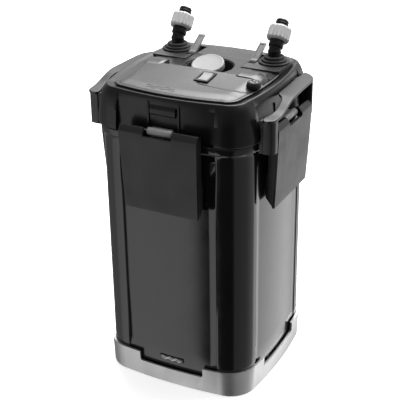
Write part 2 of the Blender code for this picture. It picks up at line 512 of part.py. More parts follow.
seal = loft("head_seal", [ring(seal_out, 376.6), ring(seal_out, 380.2)], RUBBER)
cut(seal, loft("c", [ring(plain_outline(107.9, 107.0, 31.3, 4.2, 4), 370.0), ring(plain_outline(107.9, 107.0, 31.3, 4.2, 4), 390.0)], None))
motor = lathe("motor_block", [(34.0, 386.2), (36.0, 388.0), (36.0, 420.0), (30.0, 430.0)], (0.0, MOTOR_Y, 0.0), MOTOR, 32)
cut(motor, lathe("c", [(3.0, 380.0), (3.0, 410.0)], (0.0, MOTOR_Y, 0.0), None, 16))
volute = lathe("impeller_chamber", [(30.0, 350.0), (32.0, 352.0), (32.0, 371.6), (29.6, 371.6), (29.6, 353.0), (27.0, 352.4)][0:3] + [(29.6, 371.6), (29.6, 353.0)],
               (0.0, MOTOR_Y, 0.0), MOTOR, 32)
cut(volute, lathe("c", [(9.0, 340.0), (9.0, 360.0)], (0.0, MOTOR_Y, 0.0), None, 16),
    box("c", (20.0, MOTOR_Y - 4.0, 356.0), (45.0, MOTOR_Y + 4.0, 367.0)))
impeller = lathe("impeller", [(18.0, 357.0), (18.0, 359.0), (5.0, 359.4), (5.0, 368.0), (2.0, 369.0), (2.0, 406.0)], (0.0, MOTOR_Y, 0.0), LIGHT, 24)
for k in range(6):
    blade = box("blade", (3.0, -0.9, 358.0), (19.5, 0.9, 367.0))
    blade.data.transform(Matrix.Translation((0.0, MOTOR_Y * MM, 0.0)) @ Matrix.Rotation(math.radians(60.0 * k), 4, "Z"))
    join(impeller, blade)
pivot(impeller, 0.0, MOTOR_Y, 360.0)
gland = lathe("cable_gland", [(5.0, 0.0), (5.0, 4.0), (7.2, 4.3), (7.2, 10.0), (6.0, 12.0), (4.2, 15.0), (4.2, 18.0), (3.2, 18.0), (3.2, 2.0)],
              (-66.2, 114.2, 412.0), RUBBER, 20, (0.0, 1.0, 0.0))
cut(head, lathe("c", [(5.5, -14.0), (5.5, 12.0)], (-66.2, 114.2, 412.0), None, 20, (0.0, 1.0, 0.0)))
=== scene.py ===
import math

import bmesh
import bpy
import numpy as np
from mathutils import Matrix, Vector


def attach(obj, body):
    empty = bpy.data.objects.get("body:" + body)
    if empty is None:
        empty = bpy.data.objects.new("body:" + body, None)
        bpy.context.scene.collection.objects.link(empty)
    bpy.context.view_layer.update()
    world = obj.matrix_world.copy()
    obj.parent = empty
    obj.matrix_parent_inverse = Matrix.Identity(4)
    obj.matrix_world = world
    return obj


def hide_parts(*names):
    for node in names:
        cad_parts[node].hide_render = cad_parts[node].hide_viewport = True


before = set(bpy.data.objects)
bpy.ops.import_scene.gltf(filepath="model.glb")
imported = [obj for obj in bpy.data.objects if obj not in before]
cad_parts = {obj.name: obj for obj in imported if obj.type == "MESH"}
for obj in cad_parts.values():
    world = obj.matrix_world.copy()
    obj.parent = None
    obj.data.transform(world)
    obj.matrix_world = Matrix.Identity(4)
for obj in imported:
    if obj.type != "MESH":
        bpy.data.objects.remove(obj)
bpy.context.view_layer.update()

MM = 0.001

# ------------------------------------------------------------------ dimensions, as in the CAD part, in millimetres
TRAY_H = 40.0
TRAY = (120.0, 119.1, 41.0, 4.2)
CAN = (117.3, 116.4, 39.0, 4.2)
CAN_Z0, CAN_FLANGE_Z, CAN_TOP, CAN_WALL = 6.6, 376.0, 386.0, 3.4
PANEL_HALF = 71.0
HEAD_Z0, RIM_Z = 387.5, 442.6
PORT = (76.0, 65.0)
NOZZLE_TILT = math.radians(38.0)
HINGE_OFF, HINGE_Z = 127.0, 399.0
PLATE_TOP, PLATE_BOTTOM = 137.5, 131.8
WELL = (0.0, 17.0, 34.5)
BUTTON_HINGE = (-12.0, 443.4)
BUTTON_R = 23.0
BUTTON_TILT = math.radians(16.0)
LEVER = (48.5, 58.0, 445.0)
LEVER_TILT = math.radians(60.0)
SWITCH = (21.5, -39.0)
KNOB = (91.0, -36.0)
RIDGE_Y = -17.0
MOTOR_Y = -56.0
TAP_IN, TAP_OUT, TAP_FRONT, TAP_BACK = 43.5, 98.0, 27.5, 97.0


# ------------------------------------------------------------------ materials
class Nodes:
    """Short calls for wiring a material."""

    def __init__(self, name):
        self.m = bpy.data.materials.new(name)
        self.m.use_nodes = True
        self.t = self.m.node_tree
        self.shader = self.t.nodes["Principled BSDF"]
        self.coord = self.t.nodes.new("ShaderNodeTexCoord").outputs["Object"]

    def link(self, a, b):
        self.t.links.new(a, b)

    def noise(self, scale, detail=2.0, rough=0.5, stretch=None, distortion=0.0):
        n = self.t.nodes.new("ShaderNodeTexNoise")
        n.inputs["Scale"].default_value = scale
        n.inputs["Detail"].default_value = detail
        n.inputs["Roughness"].default_value = rough
        n.inputs["Distortion"].default_value = distortion
        self.link(self.mapped(stretch), n.inputs["Vector"])
        return n.outputs["Fac"]

    def mapped(self, stretch):
        if stretch is None:
            return self.coord
        m = self.t.nodes.new("ShaderNodeMapping")
        m.inputs["Scale"].default_value = stretch
        self.link(self.coord, m.inputs["Vector"])
        return m.outputs["Vector"]

    def voronoi(self, scale, feature="F1", out="Distance", stretch=None):
        n = self.t.nodes.new("ShaderNodeTexVoronoi")
        n.feature = feature
        n.inputs["Scale"].default_value = scale
        self.link(self.mapped(stretch), n.inputs["Vector"])
        return n.outputs[out]

    def ramp(self, value, lo, hi, a, b):
        n = self.t.nodes.new("ShaderNodeMapRange")
        n.clamp = True
        self.link(value, n.inputs["Value"])
        for k, v in (("From Min", lo), ("From Max", hi), ("To Min", a), ("To Max", b)):
            n.inputs[k].default_value = v
        return n.outputs["Result"]

    def math(self, op, a, b=None):
        n = self.t.nodes.new("ShaderNodeMath")
        n.operation = op
        for k, v in enumerate((a, b)):
            if v is None:
                continue
            if isinstance(v, (int, float)):
                n.inputs[k].default_value = v
            else:
                self.link(v, n.inputs[k])
        return n.outputs[0]

    def mix(self, fac, a, b):
        n = self.t.nodes.new("ShaderNodeMix")
        n.data_type = "RGBA"
        if isinstance(fac, (int, float)):
            n.inputs[0].default_value = fac
        else:
            self.link(fac, n.inputs[0])
        for k, v in ((6, a), (7, b)):
            if isinstance(v, tuple):
                n.inputs[k].default_value = (v[0], v[1], v[2], 1.0)
            else:
                self.link(v, n.inputs[k])
        return n.outputs[2]

    def bump(self, height, strength, distance, after=None):
        n = self.t.nodes.new("ShaderNodeBump")
        n.inputs["Strength"].default_value = strength
        n.inputs["Distance"].default_value = distance
        self.link(height, n.inputs["Height"])
        if after is not None:
            self.link(after, n.inputs["Normal"])
        return n.outputs["Normal"]

    def edge(self):
        g = self.t.nodes.new("ShaderNodeNewGeometry")
        return g.outputs["Pointiness"]


def plastic(name, base, rough, spread=0.06, grain=2600.0, grain_depth=0.00002, grain_strength=0.35, wear=0.25, coat=0.0, spec=0.5, flow=0.0, metal=0.0, tint=(1.0, 1.0, 1.0)):
    """Moulded plastic: slow colour drift, a fine moulded grain, handling marks in the gloss and slightly paler edges."""
    n = Nodes(name)
    dark = tuple(base * 0.86 * c for c in tint)
    light = tuple(base * 1.14 * c for c in tint)
    drift = n.noise(9.0, 3.0)
    speck = n.noise(900.0, 1.0)
    colour = n.mix(n.ramp(drift, 0.35, 0.65, 0.0, 1.0), dark, light)
    colour = n.mix(n.ramp(speck, 0.62, 0.8, 0.0, 0.18), colour, tuple(min(1.0, base * 1.9 + 0.01) for _ in range(3)))
    worn = n.ramp(n.edge(), 0.53, 0.62, 0.0, wear)
    colour = n.mix(worn, colour, tuple(min(1.0, base * 1.8 + 0.012) for _ in range(3)))
    n.link(colour, n.shader.inputs["Base Color"])
    handled = n.noise(28.0, 4.0, 0.6)
    streaks = n.noise(60.0, 2.0, 0.5, (1.0, 1.0, 0.12))
    r = n.math("ADD", n.ramp(handled, 0.3, 0.7, rough - spread, rough + spread), n.ramp(streaks, 0.45, 0.75, 0.0, spread * 0.6))
    n.link(r, n.shader.inputs["Roughness"])
    normal = n.bump(n.voronoi(grain), grain_strength, grain_depth)
    if flow:
        normal = n.bump(n.noise(16.0, 1.5, 0.4), flow, 0.0006, normal)
    n.link(normal, n.shader.inputs["Normal"])
    n.shader.inputs["Specular IOR Level"].default_value = spec
    n.shader.inputs["Metallic"].default_value = metal
    if coat:
        n.shader.inputs["Coat Weight"].default_value = coat
        n.shader.inputs["Coat Roughness"].default_value = 0.08
    return n.m


def steel(name):
    n = Nodes(name)
    brushed = n.noise(1400.0, 2.0, 0.5, (0.03, 0.03, 1.0))
    n.link(n.mix(n.ramp(brushed, 0.3, 0.7, 0.0, 1.0), (0.46, 0.46, 0.47), (0.66, 0.66, 0.66)), n.shader.inputs["Base Color"])
    n.shader.inputs["Metallic"].default_value = 1.0
    n.link(n.ramp(brushed, 0.3, 0.7, 0.18, 0.34), n.shader.inputs["Roughness"])
    n.link(n.bump(brushed, 0.2, 0.00002), n.shader.inputs["Normal"])
    return n.m


def porous(name, dark, light, scale, rough=0.95, depth=0.0008):
    """Foam, fleece or ceramic: cells, with painted shade darkening their hollows."""
    n = Nodes(name)
    cells = n.voronoi(scale)
    fine = n.noise(scale * 1.7, 3.0)
    # the dark colour is painted shade in the cell hollows, where the bump below sinks; the light colour is the
    # material's own
    n.link(n.mix(n.ramp(cells, 0.1, 0.55, 0.0, 1.0), dark, light), n.shader.inputs["Base Color"])
    n.link(n.ramp(fine, 0.3, 0.7, rough - 0.08, rough), n.shader.inputs["Roughness"])
    n.link(n.bump(n.math("ADD", cells, fine), 0.7, depth), n.shader.inputs["Normal"])
    return n.m


M = {
    "tray": plastic("satin_silver_grey_plastic", 0.46, 0.34, 0.05, 2200.0, wear=0.2, metal=0.7),
    "gloss": plastic("gloss_black_plastic", 0.0075, 0.13, 0.035, 900.0, 0.000004, 0.15, 0.12, flow=0.10),
    "satin": plastic("satin_black_plastic", 0.007, 0.3, 0.05, 2400.0, wear=0.3, spec=0.27),
    "cover": plastic("satin_black_cover_plastic", 0.022, 0.24, 0.04, 2600.0, wear=0.25),
    "handle": plastic("fine_grained_black_plastic", 0.016, 0.4, 0.05, 1900.0, 0.00003, 0.5, 0.3, spec=0.45),
    "plate": plastic("grained_latch_plastic", 0.011, 0.4, 0.05, 1700.0, 0.00004, 0.6, 0.3, spec=0.35),
    "grey": plastic("mid_grey_plastic", 0.23, 0.4, 0.05, 2300.0, wear=0.3),
    "lever": plastic("mid_grey_lever_plastic", 0.19, 0.36, 0.05, 2300.0, wear=0.3),
    "nut": plastic("light_grey_nut_plastic", 0.58, 0.42, 0.05, 2300.0, wear=0.2),
    "light": plastic("pale_grey_plastic", 0.27, 0.45, 0.05, 2300.0, wear=0.15),
    "bright": plastic("bright_badge_silver", 0.8, 0.3, 0.04, 2300.0, wear=0.1, metal=0.4),
    "rubber": plastic("black_rubber", 0.013, 0.6, 0.06, 1500.0, 0.00004, 0.6, 0.2, spec=0.35),
    "basket": plastic("smoke_grey_plastic", 0.07, 0.3, 0.05, 1600.0),
    "steel": steel("stainless_pin_steel"),
    "foam": porous("open_filter_foam", (0.02, 0.05, 0.09), (0.09, 0.22, 0.38), 420.0),
    "ceramic": porous("porous_ceramic_media", (0.30, 0.24, 0.18), (0.66, 0.58, 0.48), 160.0, 0.92, 0.003),
    "fleece": porous("white_filter_fleece", (0.62, 0.62, 0.6), (0.85, 0.85, 0.83), 900.0, 0.98, 0.0005),
}


# ------------------------------------------------------------------ mesh helpers
def make(name, verts, faces, mat=None):
    mesh = bpy.data.meshes.new(name)
    mesh.from_pydata([tuple(c * MM for c in v) for v in verts], [], [tuple(f) for f in faces])
    bm = bmesh.new()
    bm.from_mesh(mesh)
    bmesh.ops.remove_doubles(bm, verts=bm.verts, dist=1e-7)
    bmesh.ops.recalc_face_normals(bm, faces=bm.faces)
    if bm.calc_volume(signed=True) < 0:
        bmesh.ops.reverse_faces(bm, faces=bm.faces)
    bm.to_mesh(mesh)
    bm.free()
    obj = bpy.data.objects.new(name, mesh)
    bpy.context.scene.collection.objects.link(obj)
    if mat is not None:
        mesh.materials.append(M[mat])
    return obj


def loft(name, rings, mat=None):
    n = len(rings[0])
    verts = [tuple(p) for ring in rings for p in ring]
    faces = []
    for i in range(len(rings) - 1):
        for j in range(n):
            k = (j + 1) % n
            faces.append((i * n + j, i * n + k, (i + 1) * n + k, (i + 1) * n + j))
    faces.append(tuple(range(n))[::-1])
    faces.append(tuple((len(rings) - 1) * n + j for j in range(n)))
    return make(name, verts, faces, mat)


def outline(a, b, r, bow, rec=0.0, nc=14, edge=PANEL_HALF, step=1.0, line=0.0):
    """Rounded rectangle with bowed sides; the middle of each side is set back by rec, with a soft step, and line cuts a thin groove there."""
    ax, by = a - bow, b - bow
    pts = []
    for q in range(4):
        L = (ax if q in (0, 2) else by) - r
        H = by if q in (0, 2) else ax
        e = min(edge, L - 1.6)
        st = [(-e - step, 0.0, 0.0), (-e - step * 0.72, 0.08, 0.5), (-e - step * 0.45, 0.4, 1.0), (-e - step * 0.2, 0.82, 0.5), (-e, 1.0, 0.0)]
        mid = [(e * (k / 7.0), 1.0, 0.0) for k in range(-6, 7)]
        st = st + mid + [(-u, f, l) for u, f, l in reversed(st)]
        for u, f, l in st:
            w = H + bow * (1 - (u / L) ** 2) - rec * f - line * l
            pts.append({0: (u, -w), 1: (w, u), 2: (-u, w), 3: (-w, -u)}[q])
        cx, cy = {0: (1, -1), 1: (1, 1), 2: (-1, 1), 3: (-1, -1)}[q]
        for k in range(nc + 1):
            t = math.radians(-90 + 90 * q + 90 * k / nc)
            pts.append((cx * (ax - r) + r * math.cos(t), cy * (by - r) + r * math.sin(t)))
    return pts


def ring(o, z):
    return [(x, y, z) for x, y in o]


def box(name, lo, hi, mat=None):
    (x0, y0, z0), (x1, y1, z1) = lo, hi
    v = [(x0, y0, z0), (x1, y0, z0), (x1, y1, z0), (x0, y1, z0), (x0, y0, z1), (x1, y0, z1), (x1, y1, z1), (x0, y1, z1)]
    return make(name, v, [(0, 3, 2, 1), (4, 5, 6, 7), (0, 1, 5, 4), (1, 2, 6, 5), (2, 3, 7, 6), (3, 0, 4, 7)], mat)


def prism(name, pts, z0, z1, mat=None):
    return loft(name, [[(x, y, z0) for x, y in pts], [(x, y, z1) for x, y in pts]], mat)


def side_prism(name, pts, x0, x1, mat=None):
    return loft(name, [[(x0, y, z) for y, z in pts], [(x1, y, z) for y, z in pts]], mat)


def lathe(name, profile, centre, mat=None, n=64, axis=(0, 0, 1), lobes=None):
    w = Vector(axis).normalized()
    u = w.orthogonal().normalized() if abs(w.x) > 0.5 else Vector((1, 0, 0))
    v = w.cross(u).normalized()
    u = v.cross(w).normalized()
    rings = []
    for r, h in profile:
        rr = []
        for k in range(n):
            t = 2 * math.pi * k / n
            q = r if lobes is None else r * lobes(t)
            p = Vector(centre) + u * (q * math.cos(t)) + v * (q * math.sin(t)) + w * h
            rr.append((p.x, p.y, p.z))
        rings.append(rr)
    return loft(name, rings, mat)


def rounded(points, radius, n=4):
    """A closed outline with each corner rounded."""
    out = []
    m = len(points)
    for i in range(m):
        p0, p, p1 = Vector(points[i - 1]), Vector(points[i]), Vector(points[(i + 1) % m])
        a, b = (p0 - p), (p1 - p)
        d = min(radius, a.length * 0.45, b.length * 0.45)
        s, e = p + a.normalized() * d, p + b.normalized() * d
        for k in range(n + 1):
            t = k / n
            q = s * (1 - t) ** 2 + p * (2 * t * (1 - t)) + e * t ** 2
            out.append((q.x, q.y))
    return out


def boolean(target, other, how):
    mod = target.modifiers.new(how, "BOOLEAN")
    mod.operation = how
    mod.solver = "EXACT"
    mod.object = other
    graph = bpy.context.evaluated_depsgraph_get()
    graph.update()
    done = bpy.data.meshes.new_from_object(target.evaluated_get(graph))
    target.modifiers.remove(mod)
    target.data = done
    bpy.data.objects.remove(other)
    return target


def cut(target, *others):
    for other in others:
        boolean(target, other, "DIFFERENCE")
    return target


def join(target, *others):
    for other in others:
        boolean(target, other, "UNION")
    return target


def turned(obj, quarter):
    obj.data.transform(Matrix.Rotation(math.radians(90 * quarter), 4, "Z"))
    return obj


def done(obj, body, nodes, slot, bevel=0.0, segments=3, angle=32.0, mat=None):
    """Shades the piece, softens its edges, and hands it to its body in place of the CAD nodes."""
    mesh = obj.data
    if mat is not None:
        mesh.materials.clear()
        mesh.materials.append(M[mat])
    while len(mesh.materials) > 1:
        mesh.materials.pop()
    mesh.polygons.foreach_set("material_index", [0] * len(mesh.polygons))
    bm = bmesh.new()
    bm.from_mesh(mesh)
    bmesh.ops.remove_doubles(bm, verts=bm.verts, dist=2e-6)
    bmesh.ops.dissolve_degenerate(bm, dist=1e-6, edges=bm.edges)
    bm.to_mesh(mesh)
    bm.free()
    mesh.shade_smooth()
    mesh.set_sharp_from_angle(angle=math.radians(angle))
    if bevel:
        b = obj.modifiers.new("soft edges", "BEVEL")
        b.width = bevel * MM
        b.segments = segments
        b.limit_method = "ANGLE"
        b.angle_limit = math.radians(angle)
        b.use_clamp_overlap = True
        b.harden_normals = True
        b.miter_outer = "MITER_ARC"
    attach(obj, body)
    if nodes:
        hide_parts(*([nodes] if isinstance(nodes, str) else nodes))
    return obj


def smooth_rows(rows, n):
    """More rows between the given ones, on a monotone curve through them."""
    rows = np.array(rows, float)
    t = np.r_[0, np.cumsum(np.hypot(np.diff(rows[:, 0]), np.diff(rows[:, 1])) + 1e-6)]
    out = []
    m = len(rows)
    d = np.diff(rows, axis=0) / np.diff(t)[:, None]
    s = np.zeros_like(rows)
    for i in range(m):
        if i == 0:
            s[i] = d[0]
        elif i == m - 1:
            s[i] = d[-1]
        else:
            a, b = d[i - 1], d[i]
            same = a * b > 0
            s[i] = np.where(same, 2 * a * b / np.where(np.abs(a + b) < 1e-9, 1.0, a + b), 0.0)
    for i in range(m - 1):
        h = t[i + 1] - t[i]
        k = max(1, int(round(n * h / t[-1])))
        for j in range(k):
            u = j / k
            h00, h10, h01, h11 = 2 * u ** 3 - 3 * u ** 2 + 1, u ** 3 - 2 * u ** 2 + u, -2 * u ** 3 + 3 * u ** 2, u ** 3 - u ** 2
            out.append(h00 * rows[i] + h10 * h * s[i] + h01 * rows[i + 1] + h11 * h * s[i + 1])
    out.append(rows[-1])
    return out


# ------------------------------------------------------------------ base tray and feet
a, b, r, bow = TRAY
ci = (CAN[0] + 0.45, CAN[1] + 0.45, CAN[2] + 0.45, CAN[3])
NOTCH = [(-51.6, 70.0), (-51.3, 28.6), (-51.0, 27.4), (-50.3, 26.3), (-49.2, 25.6), (49.2, 25.6), (50.3, 26.3), (51.0, 27.4), (51.3, 28.6), (51.6, 70.0)]
tray = loft("base_tray_detailed", [
    ring(outline(a - 2.6, b - 2.6, r - 2.6, bow), 0.0),
    ring(outline(a - 1.2, b - 1.2, r - 1.2, bow), 0.3),
    ring(outline(a - 0.4, b - 0.4, r - 0.4, bow), 0.9),
    ring(outline(a, b, r, bow), 2.0),
    ring(outline(a + 1.0, b + 1.0, r + 1.0, bow), TRAY_H),
    ring(outline(*ci), TRAY_H),
    ring(outline(*ci), 7.0)], "tray")
cut(tray,
    loft("c1", [[(x, -130.0, z) for x, z in NOTCH], [(x, 130.0, z) for x, z in NOTCH]]),
    loft("c2", [[(-130.0, x, z) for x, z in NOTCH], [(130.0, x, z) for x, z in NOTCH]]))
for i, (sx, sy) in enumerate(((-1, -1), (1, -1), (1, 1), (-1, 1))):
    name = ("foot_front_left", "foot_front_right", "foot_back_right", "foot_back_left")[i]
    cut(tray, lathe("c", [(12.0, -5.0), (12.0, 2.4)], (sx * 84.0, sy * 84.0, 0.0), None, 48))
    foot = lathe(name + "_pad", [(2.0, 0.4), (9.4, 0.4), (10.4, 0.0), (11.2, 0.4), (11.6, 1.0), (11.6, 2.0)], (sx * 84.0, sy * 84.0, 0.0), "rubber", 48)
    done(foot, "canister", name, "rubber")
done(tray, "canister", "base_tray", "tray", 0.7, 3)


# ------------------------------------------------------------------ canister
def can_outline(inset=0.0, rec=1.4, line=0.0):
    return outline(CAN[0] - inset, CAN[1] - inset, CAN[2] - inset, CAN[3], rec, line=line)


can = loft("canister_shell", [
    ring(can_outline(3.0), CAN_Z0),
    ring(can_outline(1.0), CAN_Z0 + 0.6),
    ring(can_outline(0.0), CAN_Z0 + 2.5),
    ring(can_outline(0.0, 1.4, 0.25), 60.0),
    ring(can_outline(0.0, 1.4, 0.25), 150.0),
    ring(can_outline(0.0, 1.4, 0.25), 250.0),
    ring(can_outline(0.0, 1.4, 0.25), 340.0),
    ring(can_outline(0.0), 362.0),
    ring(can_outline(-0.2, 1.0), 369.0),
    ring(can_outline(-0.8, 0.4), 373.0),
    ring(can_outline(-1.8, 0.0), 375.0),
    ring(can_outline(-3.1, 0.0), CAN_FLANGE_Z),
    ring(can_outline(-3.6, 0.0), CAN_FLANGE_Z + 0.7),
    ring(can_outline(-3.6, 0.0), CAN_TOP - 1.0),
    ring(can_outline(-3.2, 0.0), CAN_TOP - 0.2),
    ring(can_outline(-2.6, 0.0), CAN_TOP),
    ring(can_outline(CAN_WALL - 0.6, 0.0), CAN_TOP),
    ring(can_outline(CAN_WALL, 0.0), CAN_TOP - 0.5),
    ring(can_outline(CAN_WALL + 1.6, 0.0), 370.0),
    ring(can_outline(CAN_WALL + 1.6, 0.0), CAN_Z0 + 6.0)], "gloss")
done(can, "canister", "canister_body", "gloss", 0.0, angle=40)

# raised badge: a plain strip with a wave on it in place of lettering
plate_out = rounded([(-19.4, 37.4), (19.4, 37.4), (19.4, 44.6), (-19.4, 44.6)], 1.6, 5)
badge = loft("front_badge_strip", [[(x * k, -y, 41.0 + (z - 41.0) * k) for x, z in plate_out] for y, k in ((115.3, 1.0), (116.0, 1.0), (116.25, 0.995), (116.3, 0.97))], "gloss")
done(badge, "canister", "front_badge", "light", 0.0)
for k, (amp, phase, z0) in enumerate(((1.5, 0.0, 42.3), (1.5, 0.9, 39.9))):
    n = 90
    verts, faces = [], []
    for i in range(n + 1):
        u = i / n
        x = -16.5 + 33.0 * u
        z = z0 + amp * math.sin(u * 2 * math.pi * 3.0 + phase) * 0.75
        w = 0.62 * min(1.0, 10 * u + 0.15, 10 * (1 - u) + 0.15)
        verts += [(x, -116.2, z - w), (x, -116.6, z - w * 0.8), (x, -116.75, z), (x, -116.6, z + w * 0.8), (x, -116.2, z + w)]
    for i in range(n):
        for j in range(4):
            faces.append((i * 5 + j, i * 5 + j + 1, (i + 1) * 5 + j + 1, (i + 1) * 5 + j))
        faces.append((i * 5 + 4, i * 5, (i + 1) * 5, (i + 1) * 5 + 4))
    faces += [(0, 4, 3, 2, 1), tuple(n * 5 + j for j in range(5))]
    done(make("badge_wave_%d" % (k + 1), verts, faces, "bright"), "canister", [], "light", 0.0, angle=60, mat="bright")

# ------------------------------------------------------------------ inside the canister
BASKET_Z = (14.0, 94.0, 174.0, 254.0)
BASKET_H = 77.0


def plain(a, b, r, bow, nc=10, sides=7):
    ax, by = a - bow, b - bow
    pts = []
    for q in range(4):
        L = (ax if q in (0, 2) else by) - r
        H = by if q in (0, 2) else ax
        for k in range(sides):
            u = L * (2.0 * (k + 1) / (sides + 1) - 1.0)
            w = H + bow * (1 - (u / L) ** 2)
            pts.append({0: (u, -w), 1: (w, u), 2: (-u, w), 3: (-w, -u)}[q])
        cx, cy = {0: (1, -1), 1: (1, 1), 2: (-1, 1), 3: (-1, -1)}[q]
        for k in range(nc + 1):
            t = math.radians(-90 + 90 * q + 90 * k / nc)
            pts.append((cx * (ax - r) + r * math.cos(t), cy * (by - r) + r * math.sin(t)))
    return pts


for i, z in enumerate(BASKET_Z):
    o = lambda inset: plain(108.0 - inset, 107.0 - inset, 30.0, 4.0)
    bk = loft("basket_%d_shell" % (i + 1), [
        ring(o(3.6), z), ring(o(3.0), z + 0.5), ring(o(1.0), z + BASKET_H - 7.4), ring(o(0.4), z + BASKET_H - 7.0), ring(o(0.0), z + BASKET_H - 6.4), ring(o(0.0), z + BASKET_H - 0.5),
        ring(o(0.5), z + BASKET_H), ring(o(2.6), z + BASKET_H), ring(o(3.0), z + BASKET_H - 0.5), ring(o(5.0), z + 2.5)], "basket")
    cut(bk, lathe("c", [(17.5, -1.0), (17.5, BASKET_H + 2.0)], (0.0, 0.0, z), None, 48))
    for k in (-1, 1):
        for m in (-1, 1):
            cut(bk, prism("c", rounded([(m * 52.0 - 26.0, k * 52.0 - 6.0), (m * 52.0 + 26.0, k * 52.0 - 6.0), (m * 52.0 + 26.0, k * 52.0 + 6.0), (m * 52.0 - 26.0, k * 52.0 + 6.0)], 2.0), z - 1.0, z + 4.0))
    done(bk, "canister", "media_basket_%d" % (i + 1), "basket", 0.0)
    word, mat, slot = (("coarse_foam", "foam", "foam"), ("ceramic_media", "ceramic", "ceramic"), ("fine_foam", "foam", "foam"), ("polishing_fleece", "fleece", "fleece"))[i]
    top = z + BASKET_H - 9.0
    rows = [(1.2, z + 3.2), (0.3, z + 3.6), (0.0, z + 5.0)] + ([(0.0, z + 5.0 + (top - z - 6.5) * k / 4.0 + d) for k in range(1, 4) for d in (-0.6, 0.6)] if mat == "fleece" else []) + [(0.0, top - 1.6), (0.4, top - 0.5), (1.4, top)]
    block = loft(word + "_pad", [ring(plain(100.5 - d, 99.5 - d, 24.0, 4.0), h) for d, h in rows], mat)
    cut(block, lathe("c", [(17.5, -1.0), (17.5, BASKET_H + 2.0)], (0.0, 0.0, z), None, 48))
    done(block, "canister", word + "_block", slot, 0.0)
riser = lathe("riser_tube_detailed", [(12.6, 0.0), (13.0, 0.5), (13.0, 329.6), (13.3, 330.2), (15.2, 332.6), (15.5, 333.3), (15.5, 335.8), (15.2, 336.3), (13.3, 337.6), (13.0, 338.2), (13.0, 357.7), (12.5, 358.2), (11.4, 358.2), (11.0, 357.8), (11.0, 3.0)],
              (0.0, 0.0, 13.2), "basket", 64)
done(riser, "canister", "riser_tube", "basket")

# ------------------------------------------------------------------ head housing
HEAD_ROWS = smooth_rows((
    (388.6, 123.35, 122.55, 43.2, 4.5, 6.0),
    (391.0, 123.9, 123.1, 43.5, 4.6, 6.0),
    (400.0, 122.8, 122.6, 40.5, 5.0, 5.6),
    (418.0, 119.5, 121.0, 35.5, 5.6, 3.8),
    (430.0, 116.5, 119.3, 31.0, 6.6, 2.2),
    (436.0, 114.3, 117.9, 28.0, 7.2, 0.9),
    (439.6, 112.6, 116.6, 26.0, 7.8, 0.15),
), 16)
HEAD_ROWS = [(HEAD_Z0, 122.5, 121.7, 42.6, 4.5, 5.8), (HEAD_Z0 + 0.35, 123.0, 122.2, 42.9, 4.5, 5.9)] + [tuple(h) for h in HEAD_ROWS] + [
    (441.0, 111.8, 116.0, 25.3, 8.0, 0.0), (441.9, 111.1, 115.5, 24.7, 8.0, 0.0), (442.5, 110.4, 114.9, 24.1, 8.0, 0.0), (442.8, 109.7, 114.2, 23.5, 8.0, 0.0),
    (442.9, 109.0, 113.5, 23.0, 8.0, 0.0), (442.7, 108.2, 112.7, 22.4, 8.0, 0.0), (442.2, 107.0, 111.5, 22.2, 7.9, 0.0), (441.5, 104.2, 108.8, 21.9, 7.7, 0.0),
    (440.9, 102.0, 106.6, 22.0, 7.6, 0.0), (440.5, 101.2, 105.8, 21.4, 7.6, 0.0), (438.6, 100.9, 105.5, 21.2, 7.6, 0.0)]
inner = [(HEAD_Z0, 120.2, 119.4, 40.5, 4.5), (402.0, 116.5, 116.4, 39.0, 5.0), (418.0, 112.2, 113.8, 35.0, 5.6), (434.0, 105.0, 109.0, 28.0, 6.5)]
rings = [ring(outline(*h[1:6], step=1.6), h[0]) for h in reversed(HEAD_ROWS)]
rings += [ring(outline(h[1], h[2], h[3], h[4], 3.2 if i == 0 else (2.4 if i == 1 else 0.6 if i == 2 else 0.0), step=1.6), h[0]) for i, h in enumerate(inner)]
head = loft("head_shell", rings, "satin")
cut(head, lathe("c", [(WELL[2] + 0.4, 420.0), (WELL[2] + 0.4, 450.0)], (WELL[0], WELL[1], 0.0), None, 72))


def tap_shape(side, grow, n=16, corner=1.2):
    x0, x1, y0, y1, c = TAP_IN - grow, TAP_OUT + grow, TAP_FRONT - grow, TAP_BACK + grow, 24.0
    pts = [(x0, y0), (x1 - 3.0, y0), (x1, y0 + 3.0)]
    for k in range(n + 1):
        t = math.radians(90.0 * k / n)
        pts.append((x1 - c + c * math.cos(t), y1 - c + c * math.sin(t)))
    pts.append((x0, y1))
    return pts if side > 0 else [(-x, y) for x, y in pts][::-1]


for side, word in ((-1, "left"), (1, "right")):
    cut(head, prism("c", tap_shape(side, 0.4), 425.0, 450.0))

# pockets with rails, and a catch lip in the front and back ones
for q in range(4):
    off, top = (0.0, 436.6) if q in (0, 2) else (1.2, 424.0)
    parts = []
    if q in (0, 2):
        lip_pts = rounded([(-110.0, 417.4), (-118.4, 418.4), (-120.6, 420.6), (-120.5, 428.4), (-117.4, 432.2), (-110.0, 434.6)], 2.2, 5)
        parts.append(turned(side_prism("lip", lip_pts, -18.5, 18.5), q))
    for s in (-1, 1):
        rail = side_prism("rail", rounded([(-112.0 + off, 392.0), (-118.4 + off, 392.0), (-119.4 + off, 398.0), (-118.0 + off, top - 0.6), (-112.0 + off, top)], 0.8, 2), s * 22.4 - 1.2, s * 22.4 + 1.2)
        parts.append(turned(rail, q))
    join(head, *parts)
cut(head, lathe("c", [(5.5, -14.0), (5.5, 12.0)], (-66.2, 114.2, 412.0), None, 40, (0.0, 1.0, 0.0)))
done(head, "head", "head_housing", "satin", 0.5, 3, 38)


# ------------------------------------------------------------------ covers on the deck
def ramp01(v, a, b):
    t = max(0.0, min(1.0, (v - a) / (b - a)))
    return t * t * (3 - 2 * t)


CONTROL = [(14.0, -17.0), (14.0, -46.0), (17.0, -57.5), (24.0, -61.5), (48.0, -64.0), (71.0, -65.4), (84.0, -62.4), (94.0, -54.0), (98.4, -40.0), (98.6, -26.0), (98.0, -17.0)]


